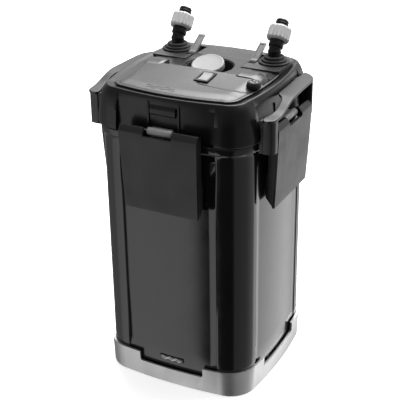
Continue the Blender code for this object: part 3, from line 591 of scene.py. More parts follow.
def inside_distance(px, py, poly):
    """Signed distance to an open run of segments that, closed by the ridge, bounds the control area; positive inside."""
    best = 1e9
    n = len(poly)
    odd = False
    for i in range(n):
        x0, y0 = poly[i]
        x1, y1 = poly[(i + 1) % n]
        if (y0 > py) != (y1 > py) and px < (x1 - x0) * (py - y0) / (y1 - y0) + x0:
            odd = not odd
        if i == n - 1:
            continue
        dx, dy = x1 - x0, y1 - y0
        t = max(0.0, min(1.0, ((px - x0) * dx + (py - y0) * dy) / (dx * dx + dy * dy)))
        best = min(best, math.hypot(px - x0 - t * dx, py - y0 - t * dy))
    return best if odd else -best




def front_height(x, y, d):
    """Height of the control cover at a point d millimetres in from its edge."""
    rise = max(0.0, min(1.0, (y + 105.0) / 88.0))
    dome = 1.2 + 8.6 * rise ** 1.15 * (1.0 - 0.25 * (abs(x) / 100.0) ** 2)
    e = max(0.0, min(1.0, (d - 5.0) / 17.0))
    e = 1 - (1 - e) ** 2.2
    z = 443.0 + 0.5 * ramp01(d, 0.0, 1.0) + 0.45 * ramp01(d, 4.6, 5.6) + e * (dome - 0.9)
    return z


outer = plain(100.0, 104.6, 20.6, 7.6, 24, 40)
C = (0.0, RIDGE_Y)


def polar_edge(angle):
    """Distance from the middle of the ridge to the cover's outline, along an angle."""
    dx, dy = math.cos(angle), math.sin(angle)
    best = None
    n = len(outer)
    for i in range(n):
        x0, y0 = outer[i][0] - C[0], outer[i][1] - C[1]
        x1, y1 = outer[(i + 1) % n][0] - C[0], outer[(i + 1) % n][1] - C[1]
        den = dx * (y1 - y0) - dy * (x1 - x0)
        if abs(den) < 1e-12:
            continue
        t = (x0 * (y1 - y0) - y0 * (x1 - x0)) / den
        u = (x0 * dy - y0 * dx) / den
        if t > 0 and -1e-9 <= u <= 1 + 1e-9:
            best = t if best is None else max(best, t)
    return best


def edge_distance(x, y):
    best = 1e9
    n = len(outer)
    for i in range(n):
        x0, y0 = outer[i]
        x1, y1 = outer[(i + 1) % n]
        if (x0 - x) ** 2 + (y0 - y) ** 2 > 1600 and (x1 - x) ** 2 + (y1 - y) ** 2 > 1600:
            continue
        ex, ey = x1 - x0, y1 - y0
        t = max(0.0, min(1.0, ((x - x0) * ex + (y - y0) * ey) / (ex * ex + ey * ey)))
        best = min(best, math.hypot(x - x0 - t * ex, y - y0 - t * ey))
    return best


NA = 200
SHARES = [0.0, 0.12, 0.24] + [0.3 + 0.56 * k / 34.0 for k in range(35)] + [0.88, 0.9, 0.915, 0.93, 0.938, 0.944, 0.95, 0.956, 0.965, 0.975, 0.984, 0.989, 0.994, 1.0]


def fan_cover(name, a0, a1, height, z0, mat, na=NA):
    """Half of the deck's cover as a fan of rays from the middle of the ridge, with a straight edge along it."""
    verts, faces = [], []
    rays = []
    for k in range(na + 1):
        a = a0 + (a1 - a0) * k / na
        R = polar_edge(a)
        rays.append([(C[0] + math.cos(a) * R * s, C[1] + math.sin(a) * R * s) for s in SHARES[1:]])
    m = len(SHARES) - 1
    verts.append((C[0], C[1], height(C[0], C[1], 80.0)))
    for ray in rays:
        for x, y in ray:
            verts.append((x, y, height(x, y, edge_distance(x, y))))
    top = lambda k, j: 1 + k * m + j
    for k in range(na):
        faces.append((0, top(k, 0), top(k + 1, 0)))
        for j in range(m - 1):
            faces.append((top(k, j), top(k, j + 1), top(k + 1, j + 1), top(k + 1, j)))
    low = len(verts)
    for ray in rays:
        x, y = ray[-1]
        verts.append((x, y, z0))
    for k in range(na):
        faces.append((low + k, low + k + 1, top(k + 1, m - 1), top(k, m - 1)))
    faces.append(tuple(low + k for k in range(na + 1))[::-1])
    back = [low] + [top(0, m - 1 - j) for j in range(m)] + [0] + [top(na, j) for j in range(m)] + [low + na]
    faces.append(tuple(back))
    return make(name, verts, faces, mat)


def with_control(x, y, d):
    z = front_height(x, y, d)
    if x > 8.0 and y > -72.0:
        q = inside_distance(x, y, CONTROL)
        z -= 0.7 * ramp01(q, -0.2, 1.5)
    return z


front = fan_cover("control_cover_panel", math.pi, 2 * math.pi, with_control, 440.8, "cover")
cut(front, lathe("c", [(WELL[2] + 0.4, 420.0), (WELL[2] + 0.4, 446.6), (WELL[2] - 0.6, 447.4)], (WELL[0], WELL[1], 0.0), None, 96),
    prism("c", rounded([(SWITCH[0] - 10.8, SWITCH[1] - 15.8), (SWITCH[0] + 10.8, SWITCH[1] - 15.8), (SWITCH[0] + 10.8, SWITCH[1] + 15.8), (SWITCH[0] - 10.8, SWITCH[1] + 15.8)], 1.6), 420.0, 480.0),
    lathe("c", [(10.2, 444.4), (10.2, 470.0)], (KNOB[0], KNOB[1], 0.0), None, 64))
for side in (-1, 1):
    # a broad hump carries the cover's surface back to the tap block
    x0, x1 = side * 56.5, side * 95.5
    nx, ny = 26, 18
    verts, faces = [], []
    for j in range(ny + 1):
        v = j / ny
        y = -24.0 + 28.0 * v
        for k in range(nx + 1):
            u = k / nx
            x = x0 + (x1 - x0) * u
            ridge = front_height(x, min(y, RIDGE_Y), edge_distance(x, min(y, RIDGE_Y)) if y < RIDGE_Y else edge_distance(x, RIDGE_Y))
            swell = 0.35 + 0.9 * ramp01(y, -22.0, -8.0) - 0.4 * ramp01(y, -6.0, 4.0)
            e = min(u, 1 - u) * 39.0
            drop = 1.6 * (1 - ramp01(e, 0.0, 2.6)) + 1.2 * (1 - ramp01(4.0 - y, 0.0, 2.2))
            sink = 3.0 * (1 - ramp01(y, -24.0, -20.0))
            verts.append((x, y, ridge + swell - drop - sink))
    m = nx + 1
    for j in range(ny):
        for k in range(nx):
            faces.append((j * m + k, j * m + k + 1, (j + 1) * m + k + 1, (j + 1) * m + k))
    base = len(verts)
    loop = [k for k in range(m)] + [j * m + nx for j in range(1, ny + 1)] + [ny * m + k for k in range(nx - 1, -1, -1)] + [j * m for j in range(ny - 1, 0, -1)]
    for i in loop:
        verts.append((verts[i][0], verts[i][1], 441.4))
    for i in range(len(loop)):
        h = (i + 1) % len(loop)
        faces.append((loop[i], base + i, base + h, loop[h]))
    faces.append(tuple(base + i for i in range(len(loop))))
    join(front, make("hump", verts, faces))
done(front, "head", "control_cover", "cover", 0.45, 3, 40)

# two low wave lines stand where lettering would be
for k, (dx, dy) in enumerate(((0.0, 0.0), (1.5, -4.4))):
    verts, faces = [], []
    n = 60
    for i in range(n + 1):
        u = i / n
        x = -41.0 + dx + 42.0 * u
        y = -86.6 + dy + 1.5 * math.sin(u * 2 * math.pi * 3.0) - 0.6 * u
        w = 0.55 * min(1.0, 8 * u, 8 * (1 - u)) + 0.08
        for a, h in ((-w, -0.3), (-w * 0.7, 0.22), (0.0, 0.32), (w * 0.7, 0.22), (w, -0.3)):
            yy = y + a
            verts.append((x, yy, front_height(x, yy, edge_distance(x, yy)) + h))
    for i in range(n):
        for j in range(4):
            faces.append((i * 5 + j, i * 5 + j + 1, (i + 1) * 5 + j + 1, (i + 1) * 5 + j))
        faces.append((i * 5 + 4, i * 5, (i + 1) * 5, (i + 1) * 5 + 4))
    faces += [(0, 4, 3, 2, 1), tuple(n * 5 + j for j in range(5))]
    done(make("cover_wave_line_%d" % (k + 1), verts, faces, "cover"), "head", [], "cover", 0.0, angle=60)


def rear_height(x, y, d):
    return 443.0 + 0.5 * ramp01(d, 0.0, 1.0) + 0.4 * ramp01(d, 4.6, 5.6) + 1.6 * ramp01(d, 5.6, 13.0) + 0.9 * ramp01(d, 13.0, 60.0)


NA_REAR = 160
rear = fan_cover("rear_cover_panel", 0.0, math.pi, rear_height, 440.8, "cover", NA_REAR)
rear.data.transform(Matrix.Translation((0, 0.3 * MM, 0)))
cut(rear, lathe("c", [(WELL[2] + 0.4, 420.0), (WELL[2] + 0.4, 460.0)], (WELL[0], WELL[1], 0.0), None, 96))
for side in (-1, 1):
    x0, x1 = sorted((side * 56.5, side * 95.5))
    cut(rear, prism("c", tap_shape(side, 1.5), 425.0, 470.0), prism("c", rounded([(x0 - 1.2, -40.0), (x1 + 1.2, -40.0), (x1 + 1.2, 5.2), (x0 - 1.2, 5.2)], 1.5), 420.0, 470.0))
done(rear, "head", "rear_cover", "cover", 0.45, 3, 40)

# ------------------------------------------------------------------ primer
primer = lathe("primer_bellows_ring", [(WELL[2], 402.0), (WELL[2], 444.9), (WELL[2] - 0.3, 445.3), (WELL[2] - 0.8, 445.4), (WELL[2] - 1.3, 445.2), (WELL[2] - 1.5, 444.8), (WELL[2] - 1.5, 404.0)], (WELL[0], WELL[1], 0.0), "rubber", 96)
cut(primer, box("c", (-30.0, -40.0, 440.2), (30.0, RIDGE_Y + 6.0, 460.0)))
done(primer, "head", "primer_cylinder", "rubber")
ct, st = math.cos(BUTTON_TILT), math.sin(BUTTON_TILT)
BR = BUTTON_R
button = lathe("primer_button_disc", [(BR - 4.4, -10.0), (BR - 3.8, -9.8), (BR - 0.6, -8.4), (BR, -7.6), (BR, -1.6), (BR - 0.2, -0.9), (BR - 0.7, -0.4), (BR - 1.6, 0.0), (BR - 3.4, 0.05), (BR - 3.9, -0.2), (BR - 4.4, -0.25), (10.0, -0.35), (3.0, -0.4)],
               (0.0, BUTTON_HINGE[0] + (BR + 0.8) * ct - 2.0 * st, BUTTON_HINGE[1] + (BR + 0.8) * st + 2.0 * ct), "light", 128, (0.0, -st, ct))
done(button, "primer", "primer_button", "light", 0.0, angle=50)

# ------------------------------------------------------------------ hose connectors
ux, uz = math.sin(NOZZLE_TILT), math.cos(NOZZLE_TILT)
NECK_TOP, BEND_R = 458.5, 13.5
for side, word in ((-1, "left"), (1, "right")):
    px, py = side * PORT[0], PORT[1]
    body = prism("tap_block_%s_body" % word, tap_shape(side, 0.0), 428.0, 447.4, "handle")
    sx = sorted((side * TAP_IN - side * 5.0, side * 54.2))
    cut(body, box("c", (sx[0], 47.0, 436.0), (sx[1], 120.0, 460.0)),
        lathe("c", [(10.4, 430.0), (10.4, 460.0)], (px, py, 0.0), None, 48),
        lathe("c", [(22.6, 447.0), (22.6, 448.0)], (px, py, 0.0), None, 72))
    done(body, "head", "tap_block_" + word, "handle", 0.5, 3, 38)
    collar = lathe("swivel_collar_%s_rings" % word, [(21.8, 447.8), (21.9, 448.1), (21.9, 449.2), (21.6, 449.6), (20.6, 449.8), (18.1, 450.1), (17.9, 450.4), (17.9, 452.0), (17.6, 452.5), (16.8, 452.8), (14.8, 453.2), (14.5, 453.5), (14.5, 455.6), (14.2, 456.1), (13.2, 456.5), (12.2, 457.2), (11.0, 457.3)],
                   (px, py, 0.0), "rubber", 96)
    cut(collar, lathe("c", [(9.1, 440.0), (9.1, 470.0)], (px, py, 0.0), None, 64))
    done(collar, "head", "swivel_collar_" + word, "rubber", 0.0)
    path, n = [], 56
    for z, rad in ((431.0, 8.4), (432.0, 8.7), (455.6, 8.7), (455.8, 8.7), (457.0, 8.7)):
        path.append(((py, z), (0.0, 1.0), rad))
    path.append(((py, NECK_TOP), (0.0, 1.0), 8.75))
    for k in range(1, 13):
        t = NOZZLE_TILT * k / 12
        path.append(((py + BEND_R * (1 - math.cos(t)), NECK_TOP + BEND_R * math.sin(t)), (math.sin(t), math.cos(t)), 8.75 + (0.8 if 4 <= k <= 6 else 0.35 if k in (3, 7) else 0.0)))
    ey, ez = path[-1][0]
    barb = [(0.4, 9.2), (0.6, 9.8), (1.0, 10.3), (1.8, 10.5), (8.4, 10.5), (9.1, 10.2), (9.4, 9.7), (9.6, 8.3), (27.0, 8.2), (30.5, 8.2), (30.7, 8.5), (31.1, 9.25), (31.6, 9.4), (32.3, 9.25), (34.2, 8.4), (34.4, 8.3), (34.6, 8.5), (34.9, 9.25), (35.4, 9.4), (36.0, 9.25), (37.8, 8.4), (38.0, 8.3), (38.2, 8.5), (38.5, 9.1), (38.9, 9.2), (39.5, 9.0),
            (40.9, 8.4), (41.3, 8.0), (41.4, 7.6), (41.4, 6.7), (41.1, 6.2), (40.4, 6.1), (16.0, 6.1)]
    for s, rad in barb:
        path.append(((ey + ux * s, ez + uz * s), (ux, uz), rad))
    rings = []
    for (cy, cz), (dy, dz), rad in path:
        rings.append([(px + rad * math.cos(2 * math.pi * k / n), cy + dz * rad * math.sin(2 * math.pi * k / n), cz - dy * rad * math.sin(2 * math.pi * k / n)) for k in range(n)])
    done(loft("hose_tail_" + word, rings, "satin"), "elbow_" + word, "hose_elbow_" + word, "satin", 0.0, angle=45)

    # the union nut: six broad flats with eighteen grip grooves, on a chamfered body
    N0 = 10.4

    def grips(t, depth=1.0):
        s = (t % (math.pi / 3)) - math.pi / 6
        hexa = min(1.0, 0.93 / math.cos(s))
        groove = (t % (math.pi / 9)) - math.pi / 18
        return hexa * (1.0 - 0.085 * depth * math.exp(-(groove / 0.07) ** 2))

    rows = [(13.8, 0.0, 0.0), (14.5, 0.15, 0.05), (16.7, 2.2, 0.2), (17.1, 2.8, 0.45), (17.2, 3.8, 0.95), (17.2, 16.8, 1.0), (17.1, 17.7, 0.95), (16.7, 18.4, 0.6), (15.2, 20.0, 0.2), (14.5, 20.4, 0.0), (10.7, 20.4, 0.0)]
    w = Vector((0.0, ux, uz))
    u = Vector((1.0, 0.0, 0.0))
    v = w.cross(u).normalized()
    nn = 288
    rings = []
    for rad, h, depth in rows:
        hx = min(1.0, (rad - 10.8) / 3.0)
        rr = []
        for k in range(nn):
            t = 2 * math.pi * k / nn
            f = (1 - hx) + hx * grips(t, depth)
            p = Vector((px, ey, ez)) + (u * math.cos(t) + v * math.sin(t)) * rad * f + w * (N0 + h)
            rr.append(tuple(p))
        rings.append(rr)
    nut = loft("union_nut_" + word, rings, "nut")
    cut(nut, lathe("c", [(10.2, N0 - 5.0), (10.2, N0 + 26.0)], (px, ey, ez), None, 72, (0.0, ux, uz)))
    done(nut, "nut_" + word, "hose_nut_" + word, "grey", 0.0, angle=50)

    # shut-off lever
    lx, ly, lz = side * LEVER[0], LEVER[1], LEVER[2]
    lever = lathe("shut_off_lever_" + word, [(4.2, -4.9), (4.6, -4.5), (4.6, 4.5), (4.2, 4.9)], (lx, ly, lz), "grey", 48, (1.0, 0.0, 0.0))
    sl, cl = math.sin(LEVER_TILT), math.cos(LEVER_TILT)
    P = lambda along, up: (ly + sl * along - cl * up, lz + cl * along + sl * up)
    blade = side_prism("blade", rounded([P(0.0, -1.6), P(36.0, -1.1), P(38.0, 0.4), P(37.2, 1.9), P(34.0, 2.1), P(0.0, 2.7)], 0.6, 3), lx - 4.9, lx + 4.9)
    join(lever, blade)
    cut(lever, side_prism("c", [P(7.0, 1.6), P(33.5, 1.35), P(33.5, 5.0), P(7.0, 5.0)], lx - 3.4, lx + 3.4))
    done(lever, "lever_" + word, "tap_lever_" + word, "grey", 0.35, 3, 38, mat="lever")

# ------------------------------------------------------------------ switch and knob
SX, SY = SWITCH
sw = prism("switch_bezel", rounded([(SX - 10.4, SY - 15.4), (SX + 10.4, SY - 15.4), (SX + 10.4, SY + 15.4), (SX - 10.4, SY + 15.4)], 1.6, 4), 441.2, 452.6, "satin")
cut(sw, side_prism("c", [(SY - 20.0, 450.0), (SY + 20.0, 453.6), (SY + 20.0, 470.0), (SY - 20.0, 470.0)], SX - 15.0, SX + 15.0),
    prism("c", rounded([(SX - 7.6, SY - 12.2), (SX + 7.6, SY - 12.2), (SX + 7.6, SY + 12.2), (SX - 7.6, SY + 12.2)], 0.7, 3), 443.6, 470.0))
done(sw, "head", "switch_frame", "satin", 0.55, 3, 38)
curve = [(10.6, 453.2)] + [(10.6 - 21.2 * k / 16.0, 450.2 + 3.0 * (1 - k / 16.0) ** 2.2 - 0.5 * math.sin(math.pi * k / 16.0)) for k in range(1, 17)]
rk = side_prism("rocker_paddle", [(SY + y, z) for y, z in [(-10.6, 447.4), (0.0, 445.0), (10.6, 447.4)] + curve], SX - 7.2, SX + 7.2, "grey")
done(rk, "rocker", "switch_rocker", "grey", 0.4, 3, 38)
for k, (y0, z0, y1, z1) in enumerate(((4.6, 451.0, 7.8, 452.0),)):
    bar = loft("rocker_mark_%d" % k, [[(SX - 0.5, SY + y0, z0 - 0.4), (SX + 0.5, SY + y0, z0 - 0.4), (SX + 0.5, SY + y1, z1 - 0.4), (SX - 0.5, SY + y1, z1 - 0.4)],
                                      [(SX - 0.5, SY + y0, z0 + 0.15), (SX + 0.5, SY + y0, z0 + 0.15), (SX + 0.5, SY + y1, z1 + 0.2), (SX - 0.5, SY + y1, z1 + 0.2)]], "light")
    done(bar, "rocker", [], "light", 0.0)


def knurl(t):
    return 1.0 - 0.035 * (0.5 + 0.5 * math.cos(t * 24.0))


knob = lathe("flow_knob_cap", [(9.1, 445.0), (9.3, 445.3), (9.3, 450.6), (9.1, 451.3), (8.7, 451.8), (8.5, 452.5), (8.1, 453.1), (7.4, 453.4), (6.8, 453.3), (6.4, 452.7)], (KNOB[0], KNOB[1], 0.0), "handle", 192, lobes=knurl)
grip = prism("grip", rounded([(KNOB[0] - 6.0, KNOB[1] - 1.3), (KNOB[0] + 6.0, KNOB[1] - 1.3), (KNOB[0] + 6.0, KNOB[1] + 1.3), (KNOB[0] - 6.0, KNOB[1] + 1.3)], 1.2, 4), 452.0, 453.4)
grip.data.transform(Matrix.Translation((KNOB[0] * MM, KNOB[1] * MM, 0)) @ Matrix.Rotation(math.radians(52), 4, "Z") @ Matrix.Translation((-KNOB[0] * MM, -KNOB[1] * MM, 0)))
join(knob, grip)
done(knob, "knob", "flow_knob", "grey", 0.2, 2, 40, mat="handle")
for k in range(4):
    a = math.radians(52 + 45 + 90 * k)
    wedge = [(KNOB[0] + 2.0 * math.cos(a), KNOB[1] + 2.0 * math.sin(a)), (KNOB[0] + 6.3 * math.cos(a - 0.62), KNOB[1] + 6.3 * math.sin(a - 0.62)), (KNOB[0] + 6.3 * math.cos(a + 0.62), KNOB[1] + 6.3 * math.sin(a + 0.62))]
    dial = prism("flow_knob_mark_%d" % k, wedge, 452.0, 453.2, "light")
    done(dial, "knob", [], "light", 0.15, 2, 40)


# ------------------------------------------------------------------ handles
def mirrored(points):
    return [(-x, y) for x, y in points][::-1]


LEDGE = (                                     # y, inner x, outer x, height of the top
    (-82.0, 126.0, 132.0, 420.3), (-80.4, 124.0, 136.6, 420.8), (-76.5, 122.8, 139.6, 421.3), (-70.0, 123.8, 140.8, 421.6), (-60.0, 126.6, 141.2, 422.2),
    (-50.0, 128.4, 141.2, 424.2), (-40.0, 128.6, 141.0, 427.4), (-30.0, 127.4, 140.6, 430.4), (-22.0, 124.4, 140.2, 432.0), (-16.5, 121.0, 140.0, 432.7),
    (-12.5, 116.6, 139.8, 433.0), (-6.0, 115.0, 139.6, 433.0), (20.0, 114.6, 138.4, 433.0), (45.0, 112.8, 137.4, 432.6), (58.0, 112.2, 136.6, 432.2),
    (67.0, 112.9, 134.4, 431.8), (74.0, 113.0, 130.8, 431.4), (80.0, 112.9, 126.0, 431.0), (84.6, 112.4, 120.4, 430.8), (87.0, 112.0, 115.8, 430.6))


def between(table, y):
    """The table's row at y, on a monotone curve through its rows."""
    ys = [r[0] for r in table]
    k = max(0, min(len(ys) - 2, next((i for i in range(len(ys) - 1) if ys[i + 1] >= y), len(ys) - 2)))
    h = ys[k + 1] - ys[k]
    u = (y - ys[k]) / h
    out = []
    for c in range(1, len(table[0])):
        d = [(table[i + 1][c] - table[i][c]) / (ys[i + 1] - ys[i]) for i in range(len(ys) - 1)]
        def slope(i):
            if i == 0 or i == len(ys) - 1:
                return d[min(i, len(d) - 1)]
            a, b = d[i - 1], d[i]
            return 2 * a * b / (a + b) if a * b > 0 else 0.0
        out.append((2 * u ** 3 - 3 * u ** 2 + 1) * table[k][c] + (u ** 3 - 2 * u ** 2 + u) * h * slope(k) + (-2 * u ** 3 + 3 * u ** 2) * table[k + 1][c] + (u ** 3 - u ** 2) * h * slope(k + 1))
    return out


STATIONS = [-82.0 + 1.0 * k for k in range(8)] + [-74.0 + 2.2 * k for k in range(32)] + [-2.0 + 6.0 * k for k in range(10)] + [57.0 + 2.0 * k for k in range(13)] + [82.6, 84.0, 85.4, 86.4, 87.0]
for side, word in ((1, "right"), (-1, "left")):
    flip = (lambda p: p) if side > 0 else mirrored
    rings = []
    for y in STATIONS:
        x0, x1, zt = between(LEDGE, y)
        e = min(1.3, (x1 - x0) * 0.2)
        section = [(x0 + 0.6, zt - 3.8), (x1 - 1.4, zt - 3.8), (x1 - 0.5, zt - 3.5), (x1, zt - 2.8), (x1, zt - 1.2), (x1 - 0.15, zt - 0.6), (x1 - 0.6, zt - 0.15), (x1 - e, zt)]
        section += [(x1 - e + (x0 + e - x1 + e) * k / 6.0, zt) for k in range(1, 6)]
        section += [(x0 + e, zt), (x0 + 0.5, zt - 0.15), (x0 + 0.1, zt - 0.6), (x0, zt - 1.2), (x0, zt - 3.2), (x0 + 0.2, zt - 3.6)]
        rings.append([(side * x, y, z) for x, z in section])
    hd = loft("carrying_handle_" + word, rings, "handle")
    front_leg = [(123.4, -80.4), (136.0, -79.4), (139.6, -75.4), (140.2, -67.0), (132.4, -66.4), (125.0, -66.4), (123.4, -72.0)]
    back_leg = [(127.0, 58.0), (136.2, 58.0), (135.9, 61.6), (134.0, 67.0), (130.6, 72.6), (127.0, 74.0)]
    join(hd, prism("leg", flip(rounded(front_leg, 2.0, 3)), 373.4, 419.0), prism("leg", flip(rounded(back_leg, 1.5, 3)), 384.0, 429.6),
         prism("tie", flip([(118.8, -79.6), (126.0, -79.6), (126.0, -69.0), (118.8, -69.0)]), 373.4, 386.9),
         prism("tie", flip([(118.8, 60.0), (129.0, 60.0), (129.0, 71.0), (118.8, 71.0)]), 384.0, 386.9),
         prism("web", flip([(120.8, -79.0), (126.0, -79.0), (126.0, -69.4), (120.8, -69.4)]), 374.0, 418.6),
         prism("web", flip([(118.8, -78.6), (126.0, -78.6), (126.0, -69.8), (118.8, -69.8)]), 407.0, 418.4),
         prism("web", flip([(120.8, 60.4), (129.0, 60.4), (129.0, 70.6), (120.8, 70.6)]), 384.4, 429.4),
         prism("web", flip([(118.8, 60.8), (129.0, 60.8), (129.0, 70.2), (118.8, 70.2)]), 407.0, 429.2))
    done(hd, "head", "handle_" + word, "handle", 0.7, 3, 38)

# ------------------------------------------------------------------ latches
for q, word in enumerate(("front", "right", "back", "left")):
    off = 0.0 if q in (0, 2) else 1.2
    knuckle = lathe("hinge_knuckle_" + word, [(4.4, -17.9), (4.9, -17.7), (5.2, -17.1), (5.2, 17.1), (4.9, 17.7), (4.4, 17.9)], (0.0, -HINGE_OFF, HINGE_Z), "grey", 56, (1.0, 0.0, 0.0))
    join(knuckle, box("neck", (-15.0, -HINGE_OFF, HINGE_Z - 3.4), (15.0, -118.9 + off, HINGE_Z + 3.4)))
    cut(knuckle, lathe("c", [(1.8, -30.0), (1.8, 30.0)], (0.0, -HINGE_OFF, HINGE_Z), None, 32, (1.0, 0.0, 0.0)))
    done(turned(knuckle, q), "head", "latch_knuckle_" + word, "grey", 0.3, 3, 38)
    pin = lathe("hinge_pin_" + word, [(1.2, -56.0), (1.5, -55.7), (1.5, 55.7), (1.2, 56.0)], (0.0, -HINGE_OFF, HINGE_Z), "steel", 32, (1.0, 0.0, 0.0))
    done(turned(pin, q), "head", "latch_pin_" + word, "steel")
    T, B = PLATE_TOP, PLATE_BOTTOM
    w0, w1 = 57.6, 54.8
    cols = 25

    def row(w, y_mid, z, back, crown):
        """Front edge of one height of the plate, from left to right with a slight crown, and its back."""
        f = [(w * (2.0 * k / (cols - 1) - 1.0), -y_mid - crown * (1 - (2.0 * k / (cols - 1) - 1.0) ** 2), z) for k in range(cols)]
        return f + [(w, -y_mid + back, z), (-w, -y_mid + back, z)]

    slab = loft("latch_plate_%s_shell" % word, [
        row(w1 - 0.6, B - 1.6, 284.4, 2.6, 0.0), row(w1 - 0.2, B - 0.6, 284.8, 3.4, 0.1), row(w1, B - 0.1, 285.8, 3.9, 0.2), row(w1 + 0.2, B + 0.15, 287.6, 4.2, 0.3)] +
        [row(w1 + 0.2 + (w0 - w1 - 0.2) * k / 8.0, B + 0.15 + (T - B - 0.15) * k / 8.0 + 0.35 * math.sin(math.pi * k / 8.0), 287.6 + (396.4 - 287.6) * k / 8.0, 4.2, 0.3) for k in range(1, 9)] +
        [row(w0, T - 0.15, 397.2, 4.2, 0.2), row(w0, T - 0.6, 398.2, 4.0, 0.1), row(w0, T - 4.6, 403.8, 2.0, 0.0), row(w0, T - 5.2, 404.3, 1.8, 0.0), row(w0 - 0.3, T - 5.8, 404.4, 1.4, 0.0)], "plate")
    for s in (-1, 1):
        x0, x1 = sorted((s * 54.4, s * 57.0))
        cheek = side_prism("cheek", [(-T + 2.0, 397.0), (-T + 5.6, 403.0), (-T + 8.0, 403.8), (-T + 14.6, 401.0), (-T + 14.6, 389.0), (-122.6, 386.0), (-122.6, 340.0), (-119.6, 330.0), (-119.4, 300.0), (-B + 2.0, 287.0)], x0, x1)
        join(slab, cheek)
        x0, x1 = sorted((s * 24.0, s * 27.0))
        join(slab, side_prism("rib", [(-T + 2.4, 397.0), (-T + 5.6, 403.4), (-T + 8.0, 403.8), (-T + 14.0, 401.4), (-T + 14.0, 394.0), (-T + 3.4, 386.0)], x0, x1))
    cut(slab, box("c", (-21.4, -150.0, 393.2), (21.4, -110.0, 420.0)),
        lathe("c", [(1.85, -70.0), (1.85, 70.0)], (0.0, -HINGE_OFF, HINGE_Z), None, 24, (1.0, 0.0, 0.0)))
    nose = side_prism("nose", [(-T + 2.6, 360.0), (-T + 2.6, 372.0), (-121.4, 374.8), (-121.0, 371.0), (-T + 8.0, 364.0)], -30.0, 30.0)
    join(slab, nose)
    done(turned(slab, q), "latch_" + word, "latch_plate_" + word, "plate", 0.6, 3, 36)

# ------------------------------------------------------------------ inside the head
plate = loft("partition_plate", [
    ring(plain(109.0, 108.1, 33.0, 4.2), 372.0), ring(plain(110.2, 109.3, 33.8, 4.2), 373.2), ring(plain(110.6, 109.7, 34.0, 4.2), 374.0),
    ring(plain(110.6, 109.7, 34.0, 4.2), 376.0), ring(plain(107.6, 106.7, 31.0, 4.2), 376.0),
    ring(plain(107.6, 106.7, 31.0, 4.2), 380.8), ring(plain(110.6, 109.7, 34.0, 4.2), 380.8),
    ring(plain(110.6, 109.7, 34.0, 4.2), 385.4), ring(plain(110.2, 109.3, 33.8, 4.2), 385.8)], "satin")
cut(plate, lathe("c", [(14.6, 360.0), (14.6, 400.0)], (0.0, 60.0, 0.0), None, 48),
    lathe("c", [(3.0, 360.0), (3.0, 400.0)], (0.0, MOTOR_Y, 0.0), None, 32))
done(plate, "head", "head_partition", "satin", 0.4, 2, 38)
so = plain(112.0, 111.1, 35.0, 4.2)
seal = loft("head_seal_ring", [ring(plain(111.6, 110.7, 34.6, 4.2), 376.6), ring(so, 377.2), ring(plain(111.8, 110.9, 34.8, 4.2), 378.4), ring(so, 379.6), ring(plain(111.6, 110.7, 34.6, 4.2), 380.2)], "rubber")
cut(seal, loft("c", [ring(plain(107.9, 107.0, 31.3, 4.2), 370.0), ring(plain(107.9, 107.0, 31.3, 4.2), 390.0)]))
done(seal, "head", "head_seal", "rubber")
motor = lathe("motor_can", [(33.6, 386.2), (34.6, 386.8), (36.0, 388.4)] + [(36.0 - (0.5 if k % 2 else 0.0), 392.0 + 3.0 * k) for k in range(9)] + [(36.0, 420.0), (35.2, 422.0), (31.0, 429.2), (30.0, 430.0)], (0.0, MOTOR_Y, 0.0), "satin", 96)
cut(motor, lathe("c", [(3.0, 380.0), (3.0, 410.0)], (0.0, MOTOR_Y, 0.0), None, 32))
done(motor, "head", "motor_block", "satin")
volute = lathe("impeller_volute", [(30.0, 350.0), (31.4, 350.6), (32.0, 352.0), (32.0, 371.2), (31.6, 371.6), (29.9, 371.6), (29.6, 371.2), (29.6, 353.0)], (0.0, MOTOR_Y, 0.0), "satin", 96)
cut(volute, lathe("c", [(9.0, 340.0), (9.0, 360.0)], (0.0, MOTOR_Y, 0.0), None, 48),
    box("c", (20.0, MOTOR_Y - 4.0, 356.0), (45.0, MOTOR_Y + 4.0, 367.0)))
done(volute, "head", "impeller_chamber", "satin", 0.3, 2, 38)
impeller = lathe("impeller_rotor", [(17.7, 357.0), (18.0, 357.3), (18.0, 358.7), (17.6, 359.0), (5.4, 359.4), (5.0, 359.8), (5.0, 367.6), (4.6, 368.1), (2.3, 369.0), (2.0, 369.4), (2.0, 405.5), (1.6, 406.0)], (0.0, MOTOR_Y, 0.0), "light", 72)
for k in range(6):
    blade = box("blade", (3.0, -0.9, 358.0), (19.5, 0.9, 367.0))
    blade.data.transform(Matrix.Translation((0.0, MOTOR_Y * MM, 0.0)) @ Matrix.Rotation(math.radians(60.0 * k), 4, "Z"))
    join(impeller, blade)
done(impeller, "impeller", "impeller", "light", 0.25, 2, 38)
gland = lathe("cable_gland_boot", [(5.0, 0.0), (5.0, 4.0), (6.9, 4.2), (7.2, 4.6), (7.2, 9.4), (6.9, 10.0), (6.0, 12.0), (5.0, 13.0), (5.3, 13.6), (4.4, 14.4), (4.7, 15.2), (4.2, 16.0), (4.2, 17.6), (3.9, 18.0), (3.4, 18.0), (3.2, 17.7), (3.2, 2.0)],
              (-66.2, 114.2, 412.0), "rubber", 64, (0.0, 1.0, 0.0))
done(gland, "head", "cable_gland", "rubber")

